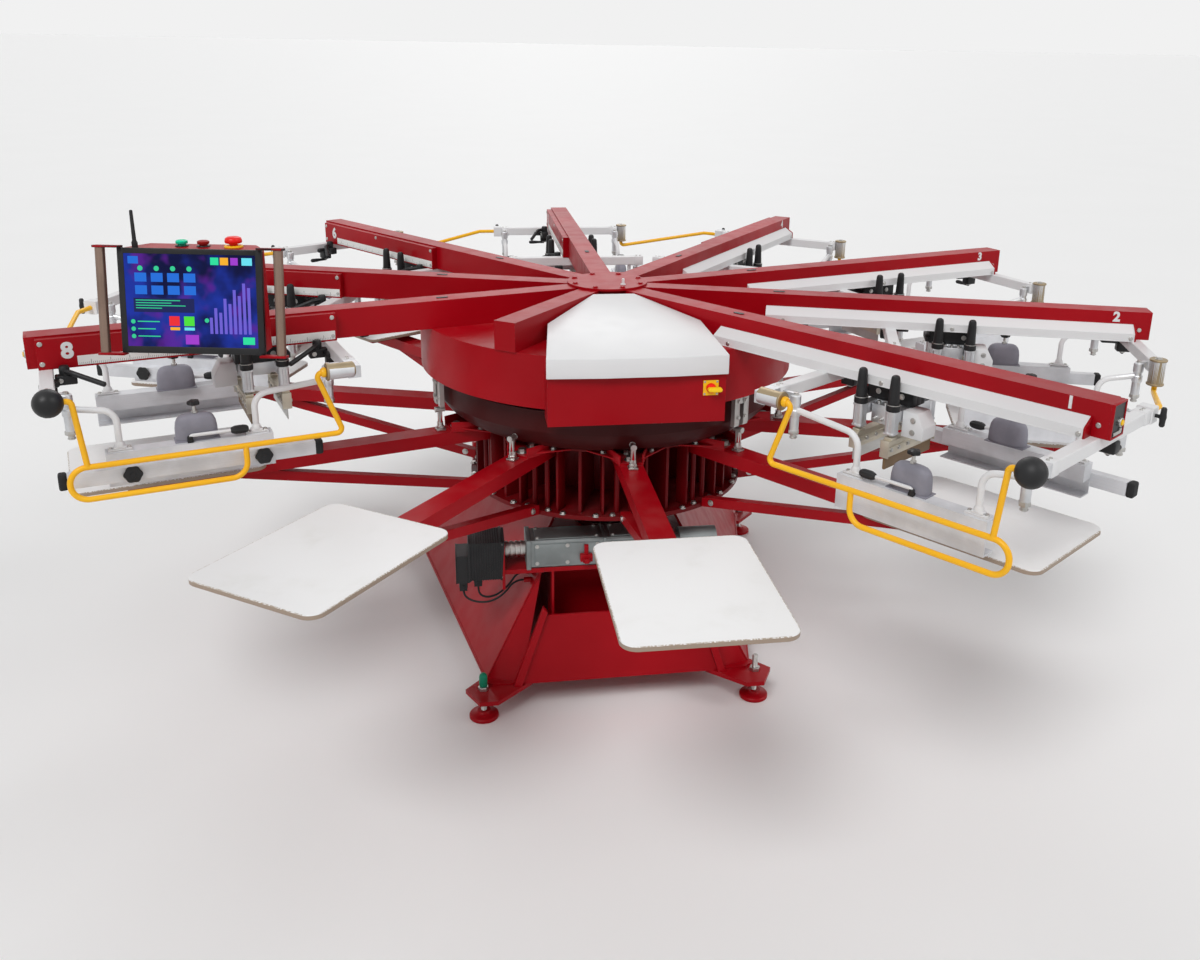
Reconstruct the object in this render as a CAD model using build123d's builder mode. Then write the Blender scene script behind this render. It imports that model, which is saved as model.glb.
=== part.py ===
from build123d import *
import os
from math import atan2, cos, radians, sin, tan

os.makedirs("parts", exist_ok=True)

# Axes: +Z is the carousel's axis, z = 0 is the floor, and station 0, with the hood, faces -Y.
# A station's pieces are drawn along +X: x is the radius, +y is counterclockwise, and then turned into place.

# Layout of the stations, and the radii that the other sizes follow
stations = 10
head_count = 8
pitch = 360 / stations
front_angle = -90.0
first_head_angle = front_angle + pitch
stub_angle = front_angle - pitch
last_head_angle = front_angle + head_count * pitch
drum_radius = 650.0
rear_arm_radius = 980.0
front_arm_radius = 1768.0

# Base and feet
front_foot_x = 476.0
front_foot_y = -468.0
rear_foot_x = 766.0
rear_foot_y = 903.0
pad_radius = 50.0
pad_height = 14.0
stud_radius = 10.0
stud_height = 165.0
nut_radius = 17.0
nut_height = 14.0
lug_bottom = 88.0
lug_thickness = 16.0
lug_outer = 60.0
lug_front = 78.0
lug_front_half = 31.0
lug_inner = 170.0
lug_back = 110.0
stud_clearance = 1.0
floor_plate = 8.0
wall_plate = 8.0
wall_front_x = 470.0
wall_front_y = -412.0
wall_rear_x = 738.0
wall_rear_y = 870.0
wall_lean = 0.55
wall_top = 640.0
wall_top_y = -240.0
wall_top_rear_y = 60.0
wall_step_y = -262.0
wall_step_front_y = -350.0
wall_knee_y = 560.0
wall_rear_top = 450.0
apron_top = 363.0
apron_y = -452.0
apron_top_x = 255.0
apron_bottom_x = 345.0
flange_width = 28.0
flange_depth = 24.0
flange_rise = 34.0
pedestal_x = 235.0
pedestal_y = 235.0
deck_bottom = 500.0
deck_thickness = 16.0
deck_x = 262.0
deck_front = -400.0
deck_rear = 260.0
deck_bracket_height = 180.0
cabinet_x = 475.0
cabinet_front = 600.0
cabinet_depth = 280.0
cabinet_top = 610.0
cabinet_sheet = 3.0
cabinet_round = 12.0

# Column, lifting collar and drive
column_radius = 60.0
column_flange_radius = 115.0
flange_thickness = 20.0
collar_radius = 90.0
collar_bottom = 560.0
collar_top = 1000.0
running_gap = 0.05
seat_gap = 0.3
gearbox_left = -318.0
gearbox_length = 438.0
gearbox_width = 116.0
gearbox_height = 100.0
gearbox_edge = 6.0
drive_y = -345.0
coupling_radius = 26.0
coupling_length = 74.0
motor_plate = 10.0
motor_plate_width = 124.0
motor_plate_bottom = 446.0
motor_plate_top = 620.0
motor_width = 124.0
motor_height = 134.0
motor_length = 108.0
encoder_width = 100.0
encoder_length = 44.0
brake_radius = 46.0
brake_length = 130.0
brake_gap_x = 90.0
encoder_bottom = 472.0
plug_width = 26.0
plug_drop = 48.0
power_plug_x = -482.0
feedback_plug_x = -532.0
cable_radius = 3.5
gland_radius = 9.0
gland_length = 26.0
power_gland_x = -291.0
feedback_gland_x = -300.0
coupling_rings = 4
coupling_groove = 3.0
bend_share = 0.45

# Carousel
pallet_top = 989.0
pallet_width = 406.4
pallet_length = 530.0
pallet_inner_radius = 1218.5
pallet_thickness = 12.0
pallet_corner = 40.0
pallet_edge = 1.5
arm_width = 75.0
arm_height = 45.0
arm_wall = 4.0
arm_outer_radius = 1600.0
pallet_seat = 27.0
seat_width = 44.0
seat_length = 300.0
seat_radii = (1320.0, 1560.0)
ring_thickness = 15.0
lower_ring_bottom = 715.0
lower_ring_radius = 490.0
flange_ring_radius = 475.0
flange_ring_thickness = 10.0
core_radius = 250.0
core_wall = 8.0
web_thickness = 10.0
web_radius = 470.0
hub_wall = 30.0
brace_height = 32.0
brace_width = 32.0
brace_foot = 716.0
brace_rise = 0.22
bracket_length = 120.0
bracket_thickness = 8.0
bowl_clearance = 50.0
bowl_radius = drum_radius - bowl_clearance
bowl_curve = 160.0
bowl_top = 1120.0
bowl_shoulder = 1050.0
bowl_sheet = 6.0
roller_radius = 9.0
roller_length = 26.0
roller_height = 1024.0
roller_bracket = 12.0
roller_bracket_width = 30.0

# Fixed drum, hub and beams
drum_bottom = 1144.0
drum_top = 1314.0
drum_sheet = 6.0
hub_radius = 120.0
hub_cap_radius = 140.0
hub_cap_thickness = 8.0
beam_width = 75.0
beam_height = 92.0
beam_wall = 4.0
beam_start = 125.0
beam_overhang = 36.0
beam_end = front_arm_radius + beam_overhang
end_cap = 6.0
stub_reach = 5.0
stub_end = drum_radius + stub_reach
guide_width = 20.0
guide_height = 14.0
guide_start = 1040.0
guide_inset = 28.0
guide_end = front_arm_radius - guide_inset
cover_sheet = 2.5
drive_cover_depth = 35.0
drive_cover_face = 26.0
drive_cover_slope = 24.0
drive_cover_start = 560.0
drive_cover_inset = 46.0
drive_cover_end = beam_end - drive_cover_inset
rail_cover_depth = 23.0
rail_cover_drop = 5.0
rail_cover_overlap = 20.0
rail_cover_start = rear_arm_radius - rail_cover_overlap
rail_cover_inset = 19.0
rail_cover_end = beam_end - rail_cover_inset
fork_width = 24.0
fork_thickness = 14.0
fork_bottom = 1040.0
fork_reach = 22.0
fork_radius = bowl_radius + fork_reach
fork_slot_gap = 0.6
fork_bridge = 30.0

# Hood, control box and main switch
box_half_width = 270.0
box_reach = 38.0
box_depth = 160.0
box_front = -(drum_radius + box_reach)
box_back = box_front + box_depth
box_bottom = 1120.0
box_top = 1272.0
box_sheet = 3.0
drum_gap = 0.5
hood_back_x = 70.0
hood_back_y = -165.0
hood_back_z = 1404.0
hood_middle_x = 245.0
hood_middle_y = -420.0
hood_front_x = 274.0
hood_lip = 12.0
hood_front_y = box_front - hood_lip
hood_front_z = 1333.0
hood_bulge = 12.0
hood_sheet = 3.0
switch_x = 223.0
switch_z = 1228.0
switch_plate_size = 47.0
switch_plate_thickness = 2.0
switch_radius = 15.0
switch_depth = 12.0
switch_handle_length = 40.0
switch_handle_width = 13.0
switch_handle_depth = 16.0

# Cross-arms, rails and their hangers
cross_arm_size = 36.0
cross_arm_wall = 3.0
cross_arm_half = 290.0
end_block_length = 36.0
end_block_size = 46.0
end_block_edge = 4.0
rail_inner_y = 250.0
rail_width = 50.0
rail_height = 95.0
rail_bottom = 1030.0
rail_start = 1210.0
rail_length = 440.0
rail_wall = 4.0
rail_slot_height = 42.0
slide_width = 32.0
slide_height = 40.0
slide_bottom = 1052.0
slide_start = 1100.0
slide_inset = 18.0
slide_end = front_arm_radius - slide_inset
fitting_radius = 13.0
rear_reach = 42.0
front_reach = 25.0
fitting_top = 1300.0
fitting_bottom = 1190.0
cane_radius = 9.0
cane_height = 1248.0
cane_bend = 42.0
cane_drop = 10.0
rear_cane_x = 1252.0
front_cane_inset = 156.0
front_cane_x = front_arm_radius - front_cane_inset
cane_foot_length = 62.0
cane_foot_width = 30.0
cane_foot_height = 6.0
dome_x = 1412.0
dome_length = 114.0
dome_height = 76.0
dome_width = 48.0
dome_inset = 14.0
dome_edge = 12.0

# Carriages, squeegees and flood bars
flood_x = 1135.0
squeegee_x = 1240.0
cylinder_y = 96.0
cylinder_size = 30.0
cylinder_bottom = 1195.0
cylinder_top = 1262.0
crossbar_height = 36.0
crossbar_width = 30.0
runner_width = 64.0
runner_length = 150.0
runner_gap = 0.3
knob_base_radius = 19.0
knob_base_height = 10.0
knob_radius = 16.0
knob_tip_radius = 12.5
knob_top = 1365.0
valve_length = 68.0
valve_width = 70.0
valve_bottom = 1186.0
rod_radius = 6.0
rod_top = 1258.0
rod_head_room = 2.0
squeegee_half = 122.0
flood_half = 118.0
holder_width = 26.0
holder_top = 1180.0
holder_height = 48.0
holder_foot_height = 14.0
squeegee_blade = 8.0
flood_blade = 3.0
blade_tip = 1096.0
blade_seat = 12.0

# Safety guards
guard_y = 360.0
guard_axis = 1305.0
guard_rod = 8.0
guard_top = 1118.0
guard_bottom = 1027.0
guard_elbow_x = 1092.0
guard_corner_x = 1022.0
guard_loop_start = 1296.0
guard_loop_inset = 24.0
guard_loop_end = front_arm_radius - guard_loop_inset
guard_strut_inset = 71.0
guard_strut_x = front_arm_radius - guard_strut_inset
guard_strut_lean = 18.0
guard_bend = 44.0
guard_return_bend = 43.0
guard_turn = 14.0
guard_pin_inset = 4.0
guard_pin_end = front_arm_radius - guard_pin_inset
guard_pin_start = 1026.0
switch_body_radius = 23.0
switch_body_inset = 5.0
switch_body_start = rear_arm_radius + switch_body_inset
switch_body_end = 1060.0
switch_bore_start = 1022.0
ball_radius = 38.0
perimeter_body_height = 80.0
perimeter_body_bottom = 1243.0
perimeter_drop = 24.0
perimeter_lead = 70.0
perimeter_bend = 14.0

# Handles on the heads
lever_x = 1433.0
lever_end_x = 1300.0
lever_height = 20.0
lever_rod = 5.0
handle_gap = 1.0
oval_length = 50.0
oval_radius = 12.0
star_radius = 16.0
star_height = 15.0
stem_radius = 5.0
stem_height = 22.0
round_knob_radius = 24.0
round_knob_depth = 12.0
round_knob_positions = (1246.0, 1590.0)
t_bar_length = 56.0
t_bar_radius = 8.0
t_stem = 20.0
slide_cap_length = 22.0
slide_cap_margin = 4.0
clamp_block_x = 46.0
clamp_block_y = 34.0
clamp_block_z = 34.0
clamp_lever_length = 74.0
clamp_lever_width = 14.0

# Operator panel
panel_azimuth = -99.73
panel_tilt = 8.0
panel_x = -1232.0
panel_y = -714.5
panel_z = 1526.0
panel_width = 388.0
panel_height = 284.0
bezel_depth = 12.0
housing_depth = 92.0
housing_margin = 4.0
housing_sheet = 3.0
housing_chamfer = 44.0
grip_offset = 239.0
grip_radius = 12.5
grip_depth = 0.0
grip_plate = 6.0
grip_plate_width = 30.0
antenna_x = -160.0
antenna_height = 100.0
antenna_radius = 5.0
antenna_tip = 4.0
antenna_depth = 24.0
button_depth = 58.0
start_x = -46.0
stop_x = 13.0
emergency_x = 96.0
button_radius = 16.0
button_height = 9.0
button_travel = 4.0
stem_hole_radius = 11.0
stem_depth = 8.0
bezel_ring_radius = 17.0
bezel_ring_height = 3.0
emergency_radius = 23.0
emergency_height = 20.0
emergency_travel = 5.0
stem_clearance = 1.0
ear_thickness = 8.0
ear_radius = 18.0
ear_reach = 34.0
knuckle_width = 50.0
tilt_pin_radius = 8.0
post_radial = 1232.0
post_radius = 20.0
post_plate = 8.0
post_plate_size = 72.0
post_top = 1480.0
post_pin_radius = 12.0
boss_radius = 28.0
boss_height = 44.0
arm_bar = 28.0

# Heights and places that follow from the sizes above
floor_top = lug_bottom + lug_thickness
deck_middle = deck_bottom + deck_thickness / 2
deck_top = deck_bottom + deck_thickness
beam_top = drum_top + beam_height
arm_top = pallet_top - pallet_thickness - pallet_seat
arm_bottom = arm_top - arm_height
flange_ring_top = arm_top + flange_ring_thickness
lower_ring_top = lower_ring_bottom + ring_thickness
arm_start = core_radius + seat_gap
cross_arm_bottom = drum_top - cross_arm_size
rail_center_y = rail_inner_y + rail_width / 2
rail_top = rail_bottom + rail_height
slide_center_y = rail_inner_y + rail_width + slide_width / 2
runner_bottom = cylinder_top
crossbar_bottom = cylinder_top - crossbar_height
fork_half_slot = roller_radius + fork_slot_gap
fork_top = drum_bottom
roller_center_x = fork_radius
coupling_left = gearbox_left - coupling_length
motor_plate_left = coupling_left - motor_plate
drive_z = deck_top + gearbox_height / 2

all_stations = PolarLocations(0, stations, start_angle=front_angle)
all_heads = PolarLocations(0, head_count, start_angle=first_head_angle, angular_range=head_count * pitch)
webs = PolarLocations(0, stations, start_angle=front_angle + pitch / 2)


def plate(corners, thickness):
    """A flat plate with its corners in one tilted plane, thickened along the plane's normal."""
    points = [Vector(*corner) for corner in corners]
    along = (points[1] - points[0]).normalized()
    normal = along.cross(points[2] - points[0]).normalized()
    plane = Plane(origin=points[0], x_dir=along, z_dir=normal)
    with BuildPart() as sheet:
        with BuildSketch(plane):
            with BuildLine():
                Polyline(*[plane.to_local_coords(point) for point in points], close=True)
            make_face()
        extrude(amount=thickness)
    return sheet.part


def bent_rod(points, bends, radius):
    """A round rod along straight runs that are joined by tangent arcs."""
    with BuildPart() as rod:
        with BuildLine() as route:
            FilletPolyline(*points, radius=bends)
        path = route.wires()[0]
        with BuildSketch(Plane(origin=path @ 0, z_dir=path % 0)):
            Circle(radius)
        sweep(path=path)
    return rod.part


def straight_rod(start, end, radius, end_radius=None):
    """A round rod or a cone between two points."""
    first = Vector(*start)
    axis = Vector(*end) - first
    with BuildPart() as rod:
        with BuildSketch(Plane(origin=first, z_dir=axis)):
            Circle(radius)
        if end_radius is None:
            extrude(amount=axis.length)
        else:
            with BuildSketch(Plane(origin=Vector(*end), z_dir=axis)):
                Circle(end_radius)
            loft()
    return rod.part


def box(low, high):
    """A block between two corners."""
    center = (Vector(*low) + Vector(*high)) / 2
    size = Vector(*high) - Vector(*low)
    with BuildPart() as block:
        with Locations(center):
            Box(size.X, size.Y, size.Z)
    return block.part


def turned(point, angle):
    """A station's point, turned about the carousel's axis."""
    x, y, z = point
    turn = radians(angle)
    return (x * cos(turn) - y * sin(turn), x * sin(turn) + y * cos(turn), z)


# Welded base: floor plate, leaning side walls, front apron, pedestal, deck and foot lugs
def wall_point(y, z):
    """A point of the left side wall, which leans inward and widens to the rear."""
    share = (y - wall_front_y) / (wall_rear_y - wall_front_y)
    x = -wall_front_x - share * (wall_rear_x - wall_front_x) + wall_lean * (z - floor_top)
    return (x, y, z)


side_wall = plate(
    [
        wall_point(wall_front_y, floor_top),
        wall_point(wall_rear_y, floor_top),
        wall_point(wall_knee_y, wall_rear_top),
        wall_point(wall_top_rear_y, wall_top),
        wall_point(wall_top_y, wall_top),
        wall_point(wall_step_y, deck_middle),
        wall_point(wall_step_front_y, deck_middle),
    ],
    wall_plate,
)
leg_plate = plate(
    [
        wall_point(wall_front_y, floor_top),
        wall_point(wall_step_front_y, deck_middle),
        (-apron_bottom_x, apron_y + wall_plate / 2, floor_top),
    ],
    wall_plate,
)

with BuildPart() as foot_lug:
    with BuildSketch(Plane.XY.offset(lug_bottom)):
        with BuildLine():
            Polyline(
                (lug_outer, nut_radius / 2),
                (lug_outer / 4, -lug_front),
                (lug_outer / 4 - 2 * lug_front_half, -lug_front),
                (-lug_inner, lug_back / 3),
                (-lug_inner, lug_back),
                (-lug_outer / 2, lug_back),
                close=True,
            )
        make_face()
        Circle(stud_radius + stud_clearance, mode=Mode.SUBTRACT)
    extrude(amount=lug_thickness)

right_lug = foot_lug.part.moved(Location((front_foot_x, front_foot_y, 0)))
rear_lug = foot_lug.part.mirror(Plane.XZ).moved(Location((rear_foot_x, rear_foot_y, 0)))

with BuildPart() as base_frame:
    with BuildSketch(Plane.XY.offset(floor_top)):
        with BuildLine():
            Polyline(
                (-wall_front_x, apron_y),
                (wall_front_x, apron_y),
                (wall_front_x, wall_front_y),
                (wall_rear_x, wall_rear_y),
                (wall_rear_x, rear_foot_y),
                (-wall_rear_x, rear_foot_y),
                (-wall_rear_x, wall_rear_y),
                (-wall_front_x, wall_front_y),
                close=True,
            )
        make_face()
        with Locations((front_foot_x, front_foot_y), (-front_foot_x, front_foot_y)):
            Circle(nut_radius + lug_thickness, mode=Mode.SUBTRACT)
        with Locations((rear_foot_x, rear_foot_y), (-rear_foot_x, rear_foot_y)):
            Circle(nut_radius + lug_thickness, mode=Mode.SUBTRACT)
    extrude(amount=floor_plate)
    for lug in (right_lug, rear_lug):
        add(lug)
        add(lug.mirror(Plane.YZ))
    for panel_plate in (side_wall, leg_plate):
        add(panel_plate)
        add(panel_plate.mirror(Plane.YZ))
    with BuildSketch(Plane.XZ.offset(-apron_y)):
        with BuildLine():
            Polyline(
                (-apron_bottom_x, floor_top),
                (apron_bottom_x, floor_top),
                (apron_top_x, apron_top),
                (-apron_top_x, apron_top),
                close=True,
            )
        make_face()
    extrude(amount=-wall_plate)
    for side in (-1, 1):
        with BuildSketch(Plane.XZ.offset(-apron_y + flange_depth - wall_plate)):
            with BuildLine():
                Polyline(
                    (side * apron_bottom_x, floor_top),
                    (side * (apron_bottom_x + flange_width), floor_top),
                    (side * (apron_top_x + flange_width / 2), apron_top + flange_rise),
                    (side * apron_top_x, apron_top + flange_rise / 2),
                    close=True,
                )
            make_face()
        extrude(amount=-flange_depth)
    with BuildSketch(Plane.XY.offset(floor_top + floor_plate)):
        Rectangle(2 * pedestal_x, 2 * pedestal_y)
        Rectangle(2 * (pedestal_x - wall_plate), 2 * (pedestal_y - wall_plate), mode=Mode.SUBTRACT)
    extrude(amount=deck_bottom - floor_top - floor_plate)
    with BuildSketch(Plane.XY.offset(deck_bottom)):
        with Locations((0, (deck_front + deck_rear) / 2)):
            Rectangle(2 * deck_x, deck_rear - deck_front)
    extrude(amount=deck_thickness)
    for side in (-1, 1):
        bracket_x = side * (pedestal_x - wall_plate / 2)
        with Locations((bracket_x, (deck_front - pedestal_y) / 2, deck_bottom - deck_bracket_height / 2)):
            Box(wall_plate, -deck_front - pedestal_y, deck_bracket_height)
    with Locations(((motor_plate_left + motor_plate - deck_x) / 2, drive_y, deck_middle)):
        Box(-deck_x - motor_plate_left - motor_plate, gearbox_width, deck_thickness)

with BuildPart() as rear_cabinet:
    with BuildSketch(Plane.XY.offset(floor_top + floor_plate)):
        with Locations((0, cabinet_front + cabinet_depth / 2)):
            RectangleRounded(2 * cabinet_x, cabinet_depth, cabinet_round)
    extrude(amount=cabinet_top - floor_top - floor_plate)
    with BuildSketch(Plane.XY.offset(floor_top + floor_plate + cabinet_sheet)):
        with Locations((0, cabinet_front + cabinet_depth / 2)):
            RectangleRounded(
                2 * (cabinet_x - cabinet_sheet), cabinet_depth - 2 * cabinet_sheet, cabinet_round - cabinet_sheet
            )
    extrude(amount=cabinet_top - floor_top - floor_plate - 2 * cabinet_sheet, mode=Mode.SUBTRACT)

with BuildPart() as levelling_foot:
    with BuildSketch(Plane.XZ):
        with BuildLine():
            Polyline(
                (0, 0),
                (pad_radius, 0),
                (pad_radius, pad_height),
                (pad_radius / 2, 2 * pad_height),
                (stud_radius, 2 * pad_height),
                (stud_radius, lug_bottom - nut_height),
                (nut_radius, lug_bottom - nut_height),
                (nut_radius, lug_bottom),
                (stud_radius, lug_bottom),
                (stud_radius, floor_top),
                (nut_radius, floor_top),
                (nut_radius, floor_top + nut_height),
                (stud_radius, floor_top + nut_height),
                (stud_radius, stud_height),
                (0, stud_height),
                close=True,
            )
        make_face()
    revolve(axis=Axis.Z)

with BuildPart() as levelling_feet:
    with Locations(
        (front_foot_x, front_foot_y),
        (-front_foot_x, front_foot_y),
        (rear_foot_x, rear_foot_y),
        (-rear_foot_x, rear_foot_y),
    ):
        add(levelling_foot.part)

# Column and lifting collar
with BuildPart() as center_column:
    with BuildSketch(Plane.XY.offset(deck_top)):
        Circle(column_flange_radius)
    extrude(amount=flange_thickness)
    with BuildSketch(Plane.XY.offset(deck_top)):
        Circle(column_radius)
    extrude(amount=drum_top - drum_sheet - deck_top)

with BuildPart() as lift_collar:
    with BuildSketch(Plane.XY.offset(collar_bottom)):
        Circle(collar_radius + hub_wall)
    extrude(amount=flange_thickness)
    with BuildSketch(Plane.XY.offset(collar_bottom)):
        Circle(collar_radius)
    extrude(amount=collar_top - collar_bottom)
    with BuildSketch(Plane.XY.offset(collar_bottom)):
        Circle(column_radius + running_gap)
    extrude(amount=collar_top - collar_bottom, mode=Mode.SUBTRACT)

# Indexer gearbox with its coupling and brake, servo motor and the motor's two cables
with BuildPart() as indexer_gearbox:
    with Locations((gearbox_left + gearbox_length / 2, drive_y, drive_z)):
        Box(gearbox_length, gearbox_width, gearbox_height)
    chamfer(indexer_gearbox.edges().filter_by(Axis.X), gearbox_edge)
    with BuildSketch(Plane.YZ.offset(gearbox_left + gearbox_length)):
        with Locations((drive_y, drive_z)):
            Circle(coupling_radius)
    extrude(amount=brake_gap_x)
    with BuildSketch(Plane.YZ.offset(gearbox_left + gearbox_length + brake_gap_x)):
        with Locations((drive_y, drive_z)):
            Circle(brake_radius)
    extrude(amount=brake_length)

with BuildPart() as drive_motor:
    with Locations((motor_plate_left + motor_plate / 2, drive_y, (motor_plate_bottom + motor_plate_top) / 2)):
        Box(motor_plate, motor_plate_width, motor_plate_top - motor_plate_bottom)
    with BuildSketch(Plane.YZ.offset(motor_plate_left + motor_plate)):
        with Locations((drive_y, drive_z)):
            Circle(coupling_radius - coupling_groove)
    extrude(amount=coupling_length - seat_gap)
    ring_step = (coupling_length - seat_gap) / coupling_rings
    for ring in range(coupling_rings):
        with BuildSketch(Plane.YZ.offset(motor_plate_left + motor_plate + ring * ring_step)):
            with Locations((drive_y, drive_z)):
                Circle(coupling_radius)
        extrude(amount=ring_step - coupling_groove)
    with Locations((motor_plate_left - motor_length / 2, drive_y, motor_plate_top - motor_height / 2)):
        Box(motor_length, motor_width, motor_height)
    encoder_x = motor_plate_left - motor_length - encoder_length / 2
    with Locations((encoder_x, drive_y, encoder_bottom + encoder_width / 2)):
        Box(encoder_length, encoder_width, encoder_width)
    with Locations((power_plug_x, drive_y, motor_plate_top - motor_height - plug_drop / 2)):
        Box(plug_width, plug_width, plug_drop)
    with Locations((feedback_plug_x, drive_y, encoder_bottom - plug_drop / 2)):
        Box(plug_width, plug_width, plug_drop)

power_plug = (power_plug_x, drive_y, motor_plate_top - motor_height - plug_drop)
feedback_plug = (feedback_plug_x, drive_y, encoder_bottom - plug_drop)
power_gland = (power_gland_x, -312.0, 462.0)
feedback_gland = (feedback_gland_x, -330.0, 440.0)


def cable(points):
    """A cable of straight runs and the largest arcs that they leave room for."""
    bends = []
    for before, corner, after in zip(points, points[1:], points[2:]):
        run_in = Vector(*corner) - Vector(*before)
        run_out = Vector(*after) - Vector(*corner)
        turn = radians(run_in.get_angle(run_out))
        bends.append(bend_share * min(run_in.length, run_out.length) / tan(turn / 2))
    print("cable radii", [round(bend, 1) for bend in bends])
    return bent_rod(points, bends, cable_radius)


power_route = [
    power_plug,
    (-482.0, -345.0, 412.0),
    (-470.0, -344.0, 394.0),
    (-446.0, -342.0, 387.0),
    (-412.0, -338.0, 396.0),
    (-376.0, -328.0, 424.0),
    (-345.0, -312.0, 462.0),
    (power_gland[0] - gland_length, power_gland[1], power_gland[2]),
]
feedback_route = [
    feedback_plug,
    (-532.0, -345.0, 402.0),
    (-508.0, -349.0, 382.0),
    (-470.0, -355.0, 375.0),
    (-430.0, -357.0, 381.0),
    (-392.0, -350.0, 404.0),
    (-358.0, -330.0, 440.0),
    (feedback_gland[0] - gland_length, feedback_gland[1], feedback_gland[2]),
]
power_cable = cable(power_route)
feedback_cable = cable(feedback_route)
cable_glands = [
    straight_rod(gland, (gland[0] - gland_length, gland[1], gland[2]), gland_radius)
    for gland in (power_gland, feedback_gland)
]
with BuildPart() as base_with_glands:
    add(base_frame.part)
    for gland in cable_glands:
        add(gland)

# Carousel: bearing hub, core, rings and webs as one weldment
with BuildPart() as carousel_cage:
    with BuildSketch(Plane.XY.offset(collar_bottom + flange_thickness + seat_gap)):
        Circle(collar_radius + hub_wall)
    extrude(amount=flange_ring_top - collar_bottom - flange_thickness - seat_gap)
    with BuildSketch(Plane.XY.offset(lower_ring_bottom)):
        Circle(lower_ring_radius)
    extrude(amount=ring_thickness)
    with BuildSketch(Plane.XY.offset(arm_top)):
        Circle(flange_ring_radius)
    extrude(amount=flange_ring_thickness)
    with BuildSketch(Plane.XY.offset(lower_ring_top)):
        Circle(core_radius)
        Circle(core_radius - core_wall, mode=Mode.SUBTRACT)
    extrude(amount=arm_top - lower_ring_top)
    with BuildSketch(Plane.XY.offset(lower_ring_top)):
        with webs:
            with Locations(((core_radius - core_wall / 2 + web_radius) / 2, 0)):
                Rectangle(web_radius - core_radius + core_wall / 2, web_thickness)
    extrude(amount=arm_top - lower_ring_top)
    with BuildSketch(Plane.XY.offset(collar_bottom)):
        Circle(collar_radius + running_gap)
    extrude(amount=flange_ring_top, mode=Mode.SUBTRACT)

with BuildPart() as carousel_bowl:
    with BuildSketch(Plane.XZ):
        with BuildLine():
            inner_top = (bowl_radius - bowl_sheet, bowl_top)
            inner_shoulder = (bowl_radius - bowl_sheet, bowl_shoulder)
            inner_foot = (flange_ring_radius - ring_thickness, flange_ring_top + bowl_sheet)
            Polyline(inner_foot, (core_radius + arm_width, flange_ring_top + bowl_sheet))
            Polyline(
                (core_radius + arm_width, flange_ring_top + bowl_sheet),
                (core_radius + arm_width, flange_ring_top),
                (flange_ring_radius - ring_thickness, flange_ring_top),
            )
            RadiusArc(
                (flange_ring_radius - ring_thickness, flange_ring_top), (bowl_radius, bowl_shoulder), -bowl_curve
            )
            Polyline((bowl_radius, bowl_shoulder), (bowl_radius, bowl_top), inner_top, inner_shoulder)
            RadiusArc(inner_shoulder, inner_foot, bowl_curve)
        make_face()
    revolve(axis=Axis.Z)

# Pallet arms with their seats, V brackets, roller brackets and rollers, and the braces below them
with BuildPart() as pallet_arm:
    with BuildSketch(Plane.YZ.offset(arm_start)):
        with Locations((0, (arm_top + arm_bottom) / 2)):
            Rectangle(arm_width, arm_height)
            Rectangle(arm_width - 2 * arm_wall, arm_height - 2 * arm_wall, mode=Mode.SUBTRACT)
    extrude(amount=arm_outer_radius - arm_start)
    for seat_radius in seat_radii:
        with Locations((seat_radius, 0, arm_top + pallet_seat / 2)):
            Box(seat_width, seat_length, pallet_seat)
    with BuildSketch(Plane.XY.offset(arm_top)):
        with BuildLine():
            Polyline(
                (flange_ring_radius + seat_gap, -arm_width),
                (flange_ring_radius + seat_gap, arm_width),
                (flange_ring_radius + bracket_length, arm_width / 2),
                (flange_ring_radius + bracket_length, -arm_width / 2),
                close=True,
            )
        make_face()
    extrude(amount=bracket_thickness)
    with Locations((roller_center_x, 0, (arm_top + roller_height) / 2)):
        Box(roller_bracket, roller_bracket_width / 2, roller_height - arm_top)
    with BuildSketch(Plane.YZ.offset(roller_center_x - roller_length / 2)):
        with Locations((0, roller_height)):
            Circle(roller_radius)
    extrude(amount=roller_length)

brace_run = (arm_bottom - brace_foot - brace_height) / brace_rise
with BuildPart() as arm_brace:
    with BuildSketch(Plane.XZ.offset(brace_width / 2)):
        with BuildLine():
            Polyline(
                (lower_ring_radius + seat_gap, brace_foot),
                (lower_ring_radius + seat_gap, brace_foot + brace_height),
                (lower_ring_radius + brace_run, arm_bottom),
                (lower_ring_radius + brace_run + brace_height / brace_rise, arm_bottom),
                close=True,
            )
        make_face()
    extrude(amount=-brace_width)

with BuildPart() as pallet_arms:
    with all_stations:
        add(pallet_arm.part)
        add(arm_brace.part)

with BuildPart() as pallets:
    with BuildSketch(Plane.XY.offset(pallet_top - pallet_thickness)):
        with all_stations:
            with Locations((pallet_inner_radius + pallet_length / 2, 0)):
                RectangleRounded(pallet_length, pallet_width, pallet_corner)
    extrude(amount=pallet_thickness)
    chamfer(pallets.faces().filter_by(Axis.Z).group_by(Axis.Z)[-1].edges(), pallet_edge)

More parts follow.
